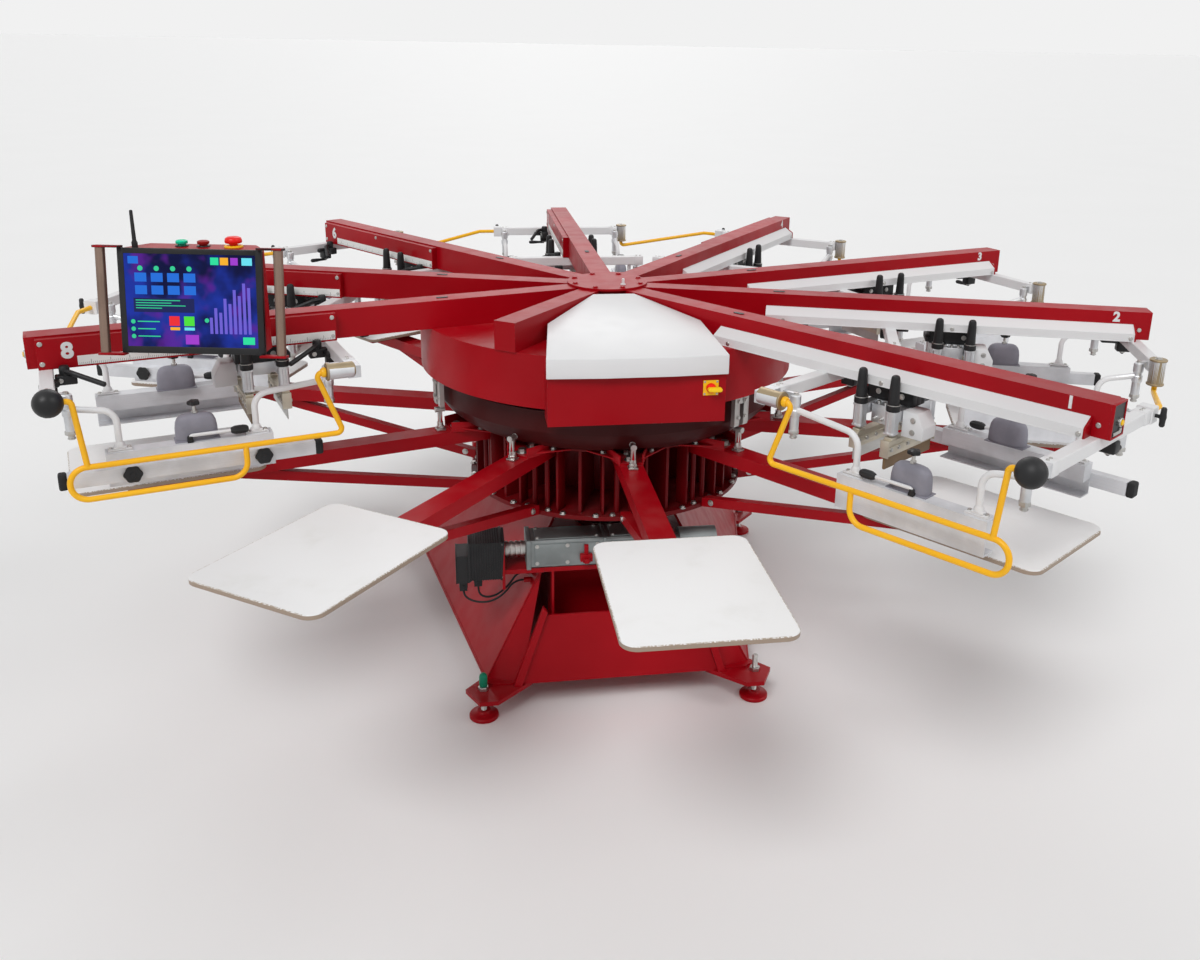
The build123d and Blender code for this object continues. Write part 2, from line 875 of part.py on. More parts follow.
# Fixed drum with its top plate, hub and hub cap
with BuildPart() as head_drum:
    with BuildSketch(Plane.XY.offset(drum_bottom)):
        Circle(drum_radius)
        Circle(drum_radius - drum_sheet, mode=Mode.SUBTRACT)
    extrude(amount=drum_top - drum_bottom)
    with BuildSketch(Plane.XY.offset(drum_bottom)):
        Circle(drum_radius)
        Circle(bowl_radius + bowl_sheet, mode=Mode.SUBTRACT)
    extrude(amount=drum_sheet)
    with BuildSketch(Plane.XY.offset(drum_top - drum_sheet)):
        Circle(drum_radius)
    extrude(amount=drum_sheet)
    with BuildSketch(Plane.XY.offset(drum_top)):
        Circle(hub_radius)
    extrude(amount=beam_height)
    with BuildSketch(Plane.XY.offset(beam_top)):
        Circle(hub_cap_radius)
    extrude(amount=hub_cap_thickness)

# Head beams: tube, black end cap and the carriage guide under each
with BuildPart() as head_beam:
    with BuildSketch(Plane.YZ.offset(beam_start)):
        with Locations((0, drum_top + beam_height / 2)):
            Rectangle(beam_width, beam_height)
            Rectangle(beam_width - 2 * beam_wall, beam_height - 2 * beam_wall, mode=Mode.SUBTRACT)
    extrude(amount=beam_end - beam_start)

with BuildPart() as beam_end_cap:
    with BuildSketch(Plane.YZ.offset(beam_end)):
        with Locations((0, drum_top + beam_height / 2)):
            Rectangle(beam_width - cover_sheet, beam_height - cover_sheet)
    extrude(amount=end_cap)

with BuildPart() as carriage_guide:
    with Locations(((guide_start + guide_end) / 2, 0, drum_top - guide_height / 2)):
        Box(guide_end - guide_start, guide_width, guide_height)

with BuildPart() as stub_beam:
    with BuildSketch(Plane.YZ.offset(beam_start)):
        with Locations((0, drum_top + beam_height / 2)):
            Rectangle(beam_width, beam_height)
    extrude(amount=stub_end - beam_start)
    with BuildSketch(Plane.YZ.offset(beam_start)):
        with Locations((0, drum_top + beam_height / 2)):
            Rectangle(beam_width - 2 * beam_wall, beam_height - 2 * beam_wall)
    extrude(amount=stub_end - beam_start - beam_wall, mode=Mode.SUBTRACT)

with BuildPart() as head_beams:
    with all_heads:
        add(head_beam.part)
        add(beam_end_cap.part)
        add(carriage_guide.part)
    with Locations(Location((0, 0, 0), (0, 0, stub_angle))):
        add(stub_beam.part)

# Covers on the beams: the white drive cover clockwise of the beam, the red rail cover counterclockwise
cover_face_y = beam_width / 2 + drive_cover_depth
drive_cover_outline = [
    (-beam_width / 2, drum_top),
    (-cover_face_y, drum_top),
    (-cover_face_y, drum_top + drive_cover_face),
    (-beam_width / 2, drum_top + drive_cover_face + drive_cover_slope),
]
with BuildPart() as drive_cover:
    with BuildSketch(Plane.YZ.offset(drive_cover_start)):
        with BuildLine():
            Polyline(*drive_cover_outline, close=True)
        make_face()
    extrude(amount=drive_cover_end - drive_cover_start)
    with BuildSketch(Plane.YZ.offset(drive_cover_start + cover_sheet)):
        with BuildLine():
            Polyline(*drive_cover_outline, close=True)
        make_face()
        offset(amount=-cover_sheet, kind=Kind.INTERSECTION, mode=Mode.REPLACE)
    extrude(amount=drive_cover_end - drive_cover_start - 2 * cover_sheet, mode=Mode.SUBTRACT)

with BuildPart() as drive_covers:
    with all_heads:
        add(drive_cover.part)

rail_cover_height = beam_height - rail_cover_drop
with BuildPart() as rail_cover:
    with BuildSketch(Plane.YZ.offset(rail_cover_start)):
        with Locations(((beam_width + rail_cover_depth) / 2, drum_top + rail_cover_height / 2)):
            Rectangle(rail_cover_depth, rail_cover_height)
    extrude(amount=rail_cover_end - rail_cover_start)
    with BuildSketch(Plane.YZ.offset(rail_cover_start + cover_sheet)):
        with Locations(((beam_width + rail_cover_depth) / 2, drum_top + rail_cover_height / 2)):
            Rectangle(rail_cover_depth - 2 * cover_sheet, rail_cover_height - 2 * cover_sheet)
    extrude(amount=rail_cover_end - rail_cover_start - 2 * cover_sheet, mode=Mode.SUBTRACT)

with BuildPart() as rail_covers:
    with all_heads:
        add(rail_cover.part)

# Registration forks: two plates and a bridge under the drum's lower ring, open downwards for the roller
with BuildPart() as registration_fork:
    for side in (-1, 1):
        with Locations((roller_center_x, side * (fork_half_slot + fork_width / 2), (fork_bottom + fork_top) / 2)):
            Box(fork_thickness, fork_width, fork_top - fork_bottom)
    with Locations((roller_center_x, 0, fork_top - fork_bridge / 2)):
        Box(fork_thickness, 2 * fork_half_slot, fork_bridge)

with BuildPart() as registration_forks:
    with all_heads:
        add(registration_fork.part)

# Control box in front of the drum, with the switch's yellow plate
with BuildPart() as control_box:
    with BuildSketch(Plane.XY.offset(box_bottom)):
        with Locations((0, (box_front + box_back) / 2)):
            Rectangle(2 * box_half_width, box_depth)
        Circle(drum_radius + drum_gap, mode=Mode.SUBTRACT)
    extrude(amount=box_top - box_bottom)
    with BuildSketch(Plane.XY.offset(box_bottom + box_sheet)):
        with Locations((0, (box_front + box_sheet + box_back) / 2)):
            Rectangle(2 * (box_half_width - box_sheet), box_depth - box_sheet)
        Circle(drum_radius + drum_gap + box_sheet, mode=Mode.SUBTRACT)
    extrude(amount=box_top - box_bottom - 2 * box_sheet, mode=Mode.SUBTRACT)
switch_plate = box(
    (switch_x - switch_plate_size / 2, box_front - switch_plate_thickness, switch_z - switch_plate_size / 2),
    (switch_x + switch_plate_size / 2, box_front, switch_z + switch_plate_size / 2),
)

with BuildPart() as control_box_and_plate:
    add(control_box.part)
    add(switch_plate)

switch_back = box_front - switch_plate_thickness - seat_gap
with BuildPart() as switch_knob:
    with BuildSketch(Plane.XZ.offset(-switch_back)):
        with Locations((switch_x, switch_z)):
            Circle(switch_radius)
    extrude(amount=switch_depth)
    handle_y = switch_back - switch_depth - switch_handle_depth / 2
    with Locations((switch_x + switch_handle_length / 4, handle_y, switch_z)):
        Box(switch_handle_length, switch_handle_depth, switch_handle_width)
    fillet(switch_knob.edges().filter_by(Axis.Y).group_by(Axis.X)[-1], switch_handle_width / 3)


# Hood: a sloped shell over the front of the drum
def hood_block(inset, bottom, top_shift):
    """The hood's block under its sloped top, drawn in by an inset on every side."""
    slope = atan2(hood_back_z - hood_front_z, hood_back_y - hood_front_y)
    top_plane = Plane(
        origin=(0, hood_back_y, hood_back_z + top_shift),
        x_dir=(1, 0, 0),
        z_dir=(0, -sin(slope), cos(slope)),
    )
    with BuildPart() as block:
        with BuildSketch(Plane.XY.offset(bottom)):
            with BuildLine():
                Polyline(
                    (-hood_front_x, hood_front_y),
                    (-hood_middle_x, hood_middle_y),
                    (-hood_back_x, hood_back_y),
                    (hood_back_x, hood_back_y),
                    (hood_middle_x, hood_middle_y),
                    (hood_front_x, hood_front_y),
                )
                ThreePointArc(
                    (hood_front_x, hood_front_y), (0, hood_front_y - hood_bulge), (-hood_front_x, hood_front_y)
                )
            make_face()
            if inset:
                offset(amount=-inset, kind=Kind.INTERSECTION, mode=Mode.REPLACE)
        extrude(amount=hood_back_z - bottom + hood_sheet)
        split(bisect_by=top_plane, keep=Keep.BOTTOM)
    return block.part


hood_outside = hood_block(0, box_top + seat_gap, 0)
hood_inside = hood_block(hood_sheet, box_top - hood_sheet, -hood_sheet)
with BuildPart() as hood:
    add(hood_outside)
    add(hood_inside, mode=Mode.SUBTRACT)
    with BuildSketch(Plane.XY.offset(drum_bottom)):
        Circle(drum_radius + drum_gap)
    extrude(amount=drum_top + seat_gap - drum_bottom, mode=Mode.SUBTRACT)

# Cross-arms under the beams, with an end block at the counterclockwise end of the front arm
with BuildPart() as cross_arm:
    with BuildSketch(Plane.XZ.offset(-cross_arm_half)):
        with Locations((0, cross_arm_bottom + cross_arm_size / 2)):
            RectangleRounded(cross_arm_size, cross_arm_size, cross_arm_wall)
            Rectangle(
                cross_arm_size - 2 * cross_arm_wall, cross_arm_size - 2 * cross_arm_wall, mode=Mode.SUBTRACT
            )
    extrude(amount=2 * cross_arm_half)

with BuildPart() as end_block:
    with Locations((front_arm_radius, cross_arm_half + end_block_length / 2, cross_arm_bottom + cross_arm_size / 2)):
        Box(end_block_size, end_block_length, end_block_size)
    fillet(end_block.edges().filter_by(Axis.Y), end_block_edge)

block_heads = PolarLocations(0, head_count - 1, start_angle=first_head_angle, angular_range=(head_count - 1) * pitch)
with BuildPart() as cross_arms:
    with all_heads:
        with Locations((rear_arm_radius, 0, 0), (front_arm_radius, 0, 0)):
            add(cross_arm.part)
    with block_heads:
        add(end_block.part)

# Screen rails: a channel on each side of the head, open towards the screen, and a slide bar outside one of them
with BuildPart() as screen_rail:
    with BuildSketch(Plane.YZ.offset(rail_start)):
        with Locations((rail_center_y, rail_bottom + rail_height / 2)):
            Rectangle(rail_width, rail_height)
        with Locations((rail_center_y - rail_wall, rail_bottom + rail_wall + rail_slot_height / 2)):
            Rectangle(rail_width, rail_slot_height, mode=Mode.SUBTRACT)
    extrude(amount=rail_length)

with BuildPart() as slide_bar:
    with BuildSketch(Plane.YZ.offset(slide_start)):
        with Locations((slide_center_y, slide_bottom + slide_height / 2)):
            Rectangle(slide_width, slide_height)
    extrude(amount=slide_end - slide_start)

opposite_rail = screen_rail.part.mirror(Plane.XZ)
with BuildPart() as screen_rails:
    with all_heads:
        add(screen_rail.part)
        add(opposite_rail)
        add(slide_bar.part)

with BuildPart() as clamp_dome:
    with BuildSketch(Plane.XZ.offset(-rail_center_y + dome_inset)):
        with BuildLine():
            Polyline(
                (dome_x - dome_length / 2, rail_top + dome_height / 2),
                (dome_x - dome_length / 2, rail_top),
                (dome_x + dome_length / 2, rail_top),
                (dome_x + dome_length / 2, rail_top + dome_height / 2),
            )
            ThreePointArc(
                (dome_x + dome_length / 2, rail_top + dome_height / 2),
                (dome_x, rail_top + dome_height),
                (dome_x - dome_length / 2, rail_top + dome_height / 2),
            )
        make_face()
    extrude(amount=dome_width / 2, both=True)
    fillet(clamp_dome.edges().filter_by(GeomType.CIRCLE), dome_edge)

opposite_dome = clamp_dome.part.mirror(Plane.XZ)
with BuildPart() as clamp_domes:
    with all_heads:
        add(clamp_dome.part)
        add(opposite_dome)


# Rail hangers: a fitting on the cross-arm, a bent tube and its foot plate on the rail
def hanger(arm_face_x, reach, cane_x):
    """One hanger, from the cross-arm's inner face to the rail."""
    fitting_x = arm_face_x + reach
    bent = bent_rod(
        [
            (fitting_x, rail_center_y, cane_height + cane_drop),
            (cane_x, rail_center_y, cane_height - cane_drop),
            (cane_x, rail_center_y, rail_top + cane_foot_height / 2),
        ],
        cane_bend,
        cane_radius,
    )
    with BuildPart() as one:
        add(bent)
        with BuildSketch(Plane.XY.offset(fitting_bottom)):
            with Locations((fitting_x, rail_center_y)):
                Circle(fitting_radius)
        extrude(amount=fitting_top - fitting_bottom)
        with Locations((arm_face_x + reach / 2, rail_center_y, cross_arm_bottom + cross_arm_size / 2)):
            Box(abs(reach) - 2 * seat_gap, fitting_radius, cross_arm_size / 2)
        with Locations((cane_x, rail_center_y, rail_top + cane_foot_height / 2)):
            Box(cane_foot_length, cane_foot_width, cane_foot_height)
    return one.part


rear_hanger = hanger(rear_arm_radius + cross_arm_size / 2, rear_reach, rear_cane_x)
front_hanger = hanger(front_arm_radius - cross_arm_size / 2, -front_reach, front_cane_x)
hangers = [rear_hanger, front_hanger, rear_hanger.mirror(Plane.XZ), front_hanger.mirror(Plane.XZ)]
with BuildPart() as rail_hangers:
    with all_heads:
        for one_hanger in hangers:
            add(one_hanger)

# Handles of one head: levers, star knobs, round knobs, T-knobs, slide caps and clamp levers
dome_y = rail_center_y - dome_inset
lever_y = dome_y + dome_width / 2 + lever_rod + handle_gap
slide_face = slide_center_y + slide_width / 2
slide_z = slide_bottom + slide_height / 2
handles = []
for side in (-1, 1):
    lever_z = rail_top + lever_height
    with BuildPart() as lever:
        lever_elbow = (lever_x, side * lever_y, lever_z)
        add(straight_rod(lever_elbow, (lever_end_x, side * lever_y, lever_z), lever_rod))
        add(straight_rod((lever_x, side * lever_y, rail_top + seat_gap), lever_elbow, lever_rod))
        add(
            straight_rod(
                (lever_end_x + oval_length / 2, side * lever_y, lever_z),
                (lever_end_x - oval_length / 2, side * lever_y, lever_z),
                oval_radius,
            )
        )
    star_foot = rail_top + dome_height + seat_gap
    with BuildPart() as star_knob:
        stem_end = (dome_x, side * dome_y, star_foot + stem_height)
        add(straight_rod((dome_x, side * dome_y, star_foot), stem_end, stem_radius))
        add(straight_rod(stem_end, (dome_x, side * dome_y, star_foot + stem_height + star_height), star_radius))
    handles += [lever.part, star_knob.part]
for knob_x in round_knob_positions:
    with BuildPart() as round_knob:
        knob_face = (knob_x, slide_face + round_knob_depth, slide_z)
        add(straight_rod((knob_x, slide_face + seat_gap, slide_z), knob_face, stem_radius))
        add(straight_rod((knob_x, slide_face + round_knob_depth / 3, slide_z), knob_face, round_knob_radius))
    handles.append(round_knob.part)
for end_x, outward in ((slide_start, -1), (slide_end, 1)):
    cap_half = (slide_height + slide_cap_margin) / 2
    cap_half_y = (slide_width + slide_cap_margin) / 2
    near = end_x + outward * seat_gap
    far = end_x + outward * slide_cap_length
    handles.append(
        box(
            (min(near, far), slide_center_y - cap_half_y, slide_z - cap_half),
            (max(near, far), slide_center_y + cap_half_y, slide_z + cap_half),
        )
    )
for clamp_x in (rear_arm_radius, front_arm_radius):
    clamp_face = beam_width / 2 + rail_cover_depth
    with BuildPart() as clamp_lever:
        with Locations(
            (clamp_x, clamp_face + clamp_block_y / 2 + seat_gap, cross_arm_bottom - clamp_block_z / 2 - seat_gap)
        ):
            Box(clamp_block_x, clamp_block_y, clamp_block_z)
        add(
            straight_rod(
                (clamp_x, clamp_face + clamp_block_y / 2, cross_arm_bottom - clamp_block_z),
                (clamp_x, clamp_face + clamp_block_y / 2 + clamp_lever_length, cross_arm_bottom - clamp_block_z),
                clamp_lever_width / 2,
            )
        )
    handles.append(clamp_lever.part)
with BuildPart() as t_knob:
    t_face = front_arm_radius + end_block_size / 2
    t_y = cross_arm_half + end_block_length / 2
    t_z = cross_arm_bottom + cross_arm_size / 2
    bar_x = t_face + t_stem
    add(straight_rod((t_face + seat_gap, t_y, t_z), (bar_x, t_y, t_z), stem_radius))
    add(straight_rod((bar_x, t_y, t_z - t_bar_length / 2), (bar_x, t_y, t_z + t_bar_length / 2), t_bar_radius))

with BuildPart() as clamp_handles:
    with all_heads:
        for handle in handles:
            add(handle)
    with block_heads:
        add(t_knob.part)

# Carriages, squeegees and flood bars, drawn for one head and then written once per head
runner_x = (flood_x + squeegee_x) / 2
with BuildPart() as carriage:
    with Locations((runner_x, 0, (runner_bottom + drum_top - runner_gap - guide_height / 4) / 2)):
        Box(runner_length, runner_width, drum_top - runner_gap - guide_height / 4 - runner_bottom)
    with Locations((runner_x, 0, drum_top - guide_height / 2)):
        Box(runner_length, guide_width + 2 * runner_gap, guide_height + 2 * runner_gap, mode=Mode.SUBTRACT)
    for bar_x in (flood_x, squeegee_x):
        with Locations((bar_x, 0, crossbar_bottom + crossbar_height / 2)):
            Box(crossbar_width, 2 * cylinder_y, crossbar_height)
        for side in (-1, 1):
            with Locations((bar_x, side * cylinder_y, (cylinder_bottom + cylinder_top) / 2)):
                Box(cylinder_size, cylinder_size, cylinder_top - cylinder_bottom)
    with Locations((runner_x, 0, crossbar_bottom + crossbar_height / 2)):
        Box(squeegee_x - flood_x, runner_width, crossbar_height)
    for bar_x in (flood_x, squeegee_x):
        for side in (-1, 1):
            with BuildSketch(Plane.XY.offset(cylinder_top)):
                with Locations((bar_x, side * cylinder_y)):
                    Circle(knob_base_radius)
            extrude(amount=knob_base_height)
            with BuildSketch(Plane.XY.offset(cylinder_top + knob_base_height)):
                with Locations((bar_x, side * cylinder_y)):
                    Circle(knob_radius)
            with BuildSketch(Plane.XY.offset(knob_top)):
                with Locations((bar_x, side * cylinder_y)):
                    Circle(knob_tip_radius)
            loft()
            with BuildSketch(Plane.XY.offset(cylinder_bottom)):
                with Locations((bar_x, side * cylinder_y)):
                    Circle(rod_radius + running_gap)
            extrude(amount=rod_top - cylinder_bottom + rod_head_room, mode=Mode.SUBTRACT)
valve_block = box(
    (squeegee_x + crossbar_width / 2, -valve_width, valve_bottom),
    (squeegee_x + crossbar_width / 2 + valve_length, 0, cylinder_top),
)


def chopper(center_x, blade_thickness, holder_half):
    """A blade holder with its two piston rods and its blade."""
    with BuildPart() as holder:
        with BuildSketch(Plane.XZ.offset(-holder_half)):
            with BuildLine():
                Polyline(
                    (center_x - holder_width / 2, holder_top),
                    (center_x + holder_width / 2, holder_top),
                    (center_x + holder_width / 2, holder_top - holder_height + holder_foot_height),
                    (center_x + holder_width / 3, holder_top - holder_height),
                    (center_x - holder_width / 3, holder_top - holder_height),
                    (center_x - holder_width / 2, holder_top - holder_height + holder_foot_height),
                    close=True,
                )
            make_face()
            with Locations((center_x, holder_top - holder_height + blade_seat / 2)):
                Rectangle(blade_thickness, blade_seat, mode=Mode.SUBTRACT)
        extrude(amount=2 * holder_half)
        for side in (-1, 1):
            with BuildSketch(Plane.XY.offset(holder_top - blade_seat)):
                with Locations((center_x, side * cylinder_y)):
                    Circle(rod_radius)
            extrude(amount=rod_top - holder_top + blade_seat)
    with BuildPart() as blade:
        with Locations((center_x, 0, (blade_tip + holder_top - holder_height + blade_seat) / 2)):
            Box(blade_thickness, 2 * holder_half, holder_top - holder_height + blade_seat - blade_tip)
    return holder.part, blade.part


squeegee_parts = chopper(squeegee_x, squeegee_blade, squeegee_half)
flood_parts = chopper(flood_x, flood_blade, flood_half)
head_pieces = {}
for head in range(head_count):
    head_angle = first_head_angle + head * pitch
    for name, solids in (
        ("carriage", (carriage.part, valve_block)),
        ("squeegee", squeegee_parts),
        ("flood_bar", flood_parts),
    ):
        with BuildPart() as head_piece:
            with Locations(Location((0, 0, 0), (0, 0, head_angle))):
                for solid in solids:
                    add(solid)
        head_pieces[f"{name}_{head + 1}"] = head_piece

# Safety guards: two swinging side guards with their switches and balls, drawn at negative y
guard_upper = bent_rod(
    [
        (guard_pin_start, -guard_y, guard_axis),
        (guard_elbow_x, -guard_y, guard_axis),
        (guard_corner_x, -guard_y, guard_top),
        (guard_loop_end, -guard_y, guard_top),
        (guard_loop_end, -guard_y, guard_bottom),
        (guard_loop_start + guard_bend, -guard_y, guard_bottom),
    ],
    [guard_turn, guard_turn, guard_bend, guard_bend],
    guard_rod,
)
guard_return = bent_rod(
    [
        (guard_loop_start + guard_bend, -guard_y, guard_bottom),
        (guard_loop_start, -guard_y, guard_bottom),
        (guard_loop_start, -guard_y, guard_top),
    ],
    guard_return_bend,
    guard_rod,
)
guard_strut = bent_rod(
    [
        (guard_strut_x, -guard_y, guard_top),
        (guard_strut_x + guard_strut_lean, -guard_y, guard_axis),
        (guard_pin_end, -guard_y, guard_axis),
    ],
    guard_turn,
    guard_rod,
)
with BuildPart() as side_guard:
    add(guard_upper)
    add(guard_return)
    add(guard_strut)
mirrored_guard = side_guard.part.mirror(Plane.XZ)

with BuildPart() as side_guard_1:
    with Locations(Location((0, 0, 0), (0, 0, first_head_angle))):
        add(side_guard.part)
with BuildPart() as side_guard_8:
    with Locations(Location((0, 0, 0), (0, 0, last_head_angle))):
        add(mirrored_guard)

with BuildPart() as guard_switch:
    with BuildSketch(Plane.YZ.offset(switch_body_start)):
        with Locations((-guard_y, guard_axis)):
            Circle(switch_body_radius)
    extrude(amount=switch_body_end - switch_body_start)
    with Locations(
        (rear_arm_radius, -(cross_arm_half + seat_gap + guard_y) / 2, cross_arm_bottom + cross_arm_size / 2)
    ):
        Box(cross_arm_size, guard_y - cross_arm_half - seat_gap, cross_arm_size)
    with BuildSketch(Plane.YZ.offset(switch_bore_start)):
        with Locations((-guard_y, guard_axis)):
            Circle(guard_rod + running_gap)
    extrude(amount=switch_body_end - switch_bore_start, mode=Mode.SUBTRACT)

with BuildPart() as guard_ball:
    with Locations((front_arm_radius, -guard_y, guard_axis)):
        Sphere(ball_radius)
    with Locations(
        (front_arm_radius, -(cross_arm_half + seat_gap + guard_y) / 2, cross_arm_bottom + cross_arm_size / 2)
    ):
        Box(cross_arm_size, guard_y - cross_arm_half - seat_gap, cross_arm_size)
    with BuildSketch(Plane.YZ.offset(front_arm_radius - 2 * ball_radius)):
        with Locations((-guard_y, guard_axis)):
            Circle(guard_rod + running_gap)
    extrude(amount=2 * ball_radius, mode=Mode.SUBTRACT)

perimeter_y = -(cross_arm_half + seat_gap + switch_body_radius)
with BuildPart() as perimeter_switch:
    with BuildSketch(Plane.XY.offset(perimeter_body_bottom)):
        with Locations((front_arm_radius, perimeter_y)):
            Circle(switch_body_radius)
    extrude(amount=perimeter_body_height)

mirrored_switch = guard_switch.part.mirror(Plane.XZ)
mirrored_ball = guard_ball.part.mirror(Plane.XZ)
later_heads = PolarLocations(
    0, head_count - 1, start_angle=first_head_angle + pitch, angular_range=(head_count - 1) * pitch
)
with BuildPart() as guard_switches:
    with Locations(Location((0, 0, 0), (0, 0, first_head_angle))):
        add(guard_switch.part)
        add(guard_ball.part)
    with Locations(Location((0, 0, 0), (0, 0, last_head_angle))):
        add(mirrored_switch)
        add(mirrored_ball)
    with later_heads:
        add(perimeter_switch.part)

# Perimeter rods between neighbouring heads, drawn for a head at +X and its clockwise neighbour
block_face_y = cross_arm_half + end_block_length + seat_gap
rod_z = cross_arm_bottom + cross_arm_size / 2
rod_end = turned((front_arm_radius, block_face_y, rod_z), -pitch)
rod_lead = turned((front_arm_radius, block_face_y + perimeter_lead, rod_z), -pitch)
perimeter_rod = bent_rod(
    [
        (front_arm_radius, perimeter_y, perimeter_body_bottom - seat_gap),
        (front_arm_radius, perimeter_y, perimeter_body_bottom - perimeter_drop),
        rod_lead,
        rod_end,
    ],
    [perimeter_bend, perimeter_bend],
    guard_rod,
)
with BuildPart() as perimeter_guards:
    with later_heads:
        add(perimeter_rod)

# Operator panel: its plane faces the operator, x to the right, y up, z out of the screen
panel_out = Vector(
    cos(radians(panel_azimuth)) * cos(radians(panel_tilt)),
    sin(radians(panel_azimuth)) * cos(radians(panel_tilt)),
    sin(radians(panel_tilt)),
)
panel_right = Vector(-sin(radians(panel_azimuth)), cos(radians(panel_azimuth)), 0)
panel = Plane(origin=(panel_x, panel_y, panel_z), x_dir=panel_right, z_dir=panel_out)
half_height = panel_height / 2 - housing_margin
housing_front = panel.from_local_coords(Vector(0, half_height, -bezel_depth))
housing_bottom = panel.from_local_coords(Vector(0, -half_height, -bezel_depth)).Z
level_back = Vector(-panel_out.X, -panel_out.Y, 0).normalized()
button_plane = Plane(origin=housing_front, x_dir=panel_right, z_dir=(0, 0, 1))
housing_half = panel_width / 2 - housing_margin
ear_height = (housing_front.Z + housing_bottom) / 2
ear_foot = housing_front + level_back * (housing_depth - seat_gap)
ear_plane = Plane(origin=(ear_foot.X, ear_foot.Y, ear_height), x_dir=panel_right, z_dir=level_back)
tilt_center = ear_plane.origin + level_back * ear_reach

with BuildPart() as bezel:
    with BuildSketch(panel):
        RectangleRounded(panel_width, panel_height, housing_margin)
    extrude(amount=-bezel_depth)

with BuildPart() as housing:
    with BuildSketch(button_plane):
        with BuildLine():
            Polyline(
                (-housing_half, -housing_depth),
                (housing_half, -housing_depth),
                (housing_half, housing_depth / 4),
                (housing_half - housing_chamfer, housing_depth),
                (-housing_half + housing_chamfer, housing_depth),
                (-housing_half, housing_depth / 4),
                close=True,
            )
        make_face()
    extrude(amount=-(housing_front.Z - housing_bottom))
    split(bisect_by=panel.offset(-bezel_depth), keep=Keep.BOTTOM)
    with BuildSketch(button_plane.offset(-housing_sheet)):
        with Locations((0, housing_depth / 2)):
            Rectangle(2 * (housing_half - housing_chamfer), housing_depth - 2 * housing_sheet)
    extrude(amount=-(housing_front.Z - housing_bottom - 2 * housing_sheet), mode=Mode.SUBTRACT)
    with BuildSketch(button_plane):
        with Locations((start_x, button_depth), (stop_x, button_depth), (emergency_x, button_depth)):
            Circle(bezel_ring_radius)
    extrude(amount=bezel_ring_height)
    with BuildSketch(button_plane.offset(bezel_ring_height)):
        with Locations((start_x, button_depth), (stop_x, button_depth), (emergency_x, button_depth)):
            Circle(stem_hole_radius)
    extrude(amount=-bezel_ring_height - stem_depth - emergency_travel - stem_clearance, mode=Mode.SUBTRACT)
    for side in (-1, 1):
        with BuildSketch(ear_plane):
            with Locations((side * (knuckle_width / 2 + seat_gap + ear_thickness / 2), 0)):
                Rectangle(ear_thickness, 2 * ear_radius)
        extrude(amount=ear_reach + ear_radius)
    with BuildSketch(Plane(origin=tilt_center, z_dir=panel_right)):
        Circle(tilt_pin_radius)
    extrude(amount=knuckle_width / 2 + seat_gap + ear_thickness, both=True)

grip_y = panel_height / 2
with BuildPart() as grips:
    for side in (-1, 1):
        grip_foot = panel.from_local_coords(Vector(0, -grip_y, 0))
        with BuildSketch(Plane(origin=grip_foot, x_dir=panel_right, z_dir=panel.y_dir)):
            with Locations((side * grip_offset, grip_depth)):
                Circle(grip_radius)
        extrude(amount=2 * grip_y)

with BuildPart() as grip_brackets:
    for side in (-1, 1):
        for end in (-1, 1):
            inner_x = side * (panel_width / 2 - housing_margin - grip_plate)
            outer_x = side * (grip_offset + grip_plate_width / 2)
            plate_center = Vector((inner_x + outer_x) / 2, end * (grip_y + grip_plate / 2), 0)
            plate_origin = panel.from_local_coords(plate_center)
            with BuildSketch(Plane(origin=plate_origin, x_dir=panel_right, z_dir=panel.y_dir)):
                with Locations((0, grip_depth)):
                    Rectangle(abs(outer_x - inner_x), grip_plate_width)
            extrude(amount=grip_plate / 2, both=True)

with BuildPart() as antenna:
    with BuildSketch(button_plane):
        with Locations((antenna_x, antenna_depth)):
            Circle(antenna_radius)
    with BuildSketch(button_plane.offset(antenna_height)):
        with Locations((antenna_x, antenna_depth)):
            Circle(antenna_tip)
    loft()

with BuildPart() as panel_housing:
    add(housing.part)
    add(bezel.part)
    add(grips.part)
    add(grip_brackets.part)
    add(antenna.part)


def push_button(center_x, cap_radius, cap_height, travel):
    """A button with its stem in the housing's hole, raised by its travel."""
    cap_foot = bezel_ring_height + travel + seat_gap
    with BuildPart() as button:
        with BuildSketch(button_plane.offset(cap_foot)):
            with Locations((center_x, button_depth)):
                Circle(cap_radius)
        extrude(amount=cap_height)
        with BuildSketch(button_plane.offset(-stem_depth)):
            with Locations((center_x, button_depth)):
                Circle(stem_hole_radius - running_gap)
        extrude(amount=stem_depth + cap_foot)
    return button.part


button_parts = {
    "start_button": push_button(start_x, button_radius, button_height, button_travel),
    "stop_button": push_button(stop_x, button_radius, button_height, button_travel),
    "emergency_stop": push_button(emergency_x, emergency_radius, emergency_height, emergency_travel),
}

# Post on beam 8, and the arm from the post to the panel's tilt pin
post_x, post_y, post_z = turned((post_radial, 0, beam_top), last_head_angle)
with BuildPart() as panel_post:
    with BuildSketch(Plane.XY.offset(post_z)):
        with Locations(Location((post_x, post_y, 0), (0, 0, last_head_angle))):
            Rectangle(2 * post_plate_size, post_plate_size)
    extrude(amount=post_plate)
    with BuildSketch(Plane.XY.offset(post_z)):
        with Locations((post_x, post_y)):
            Circle(post_radius)
    extrude(amount=post_top - post_z)
    with BuildSketch(Plane.XY.offset(post_top)):
        with Locations((post_x, post_y)):
            Circle(post_pin_radius)
    extrude(amount=boss_height + seat_gap)

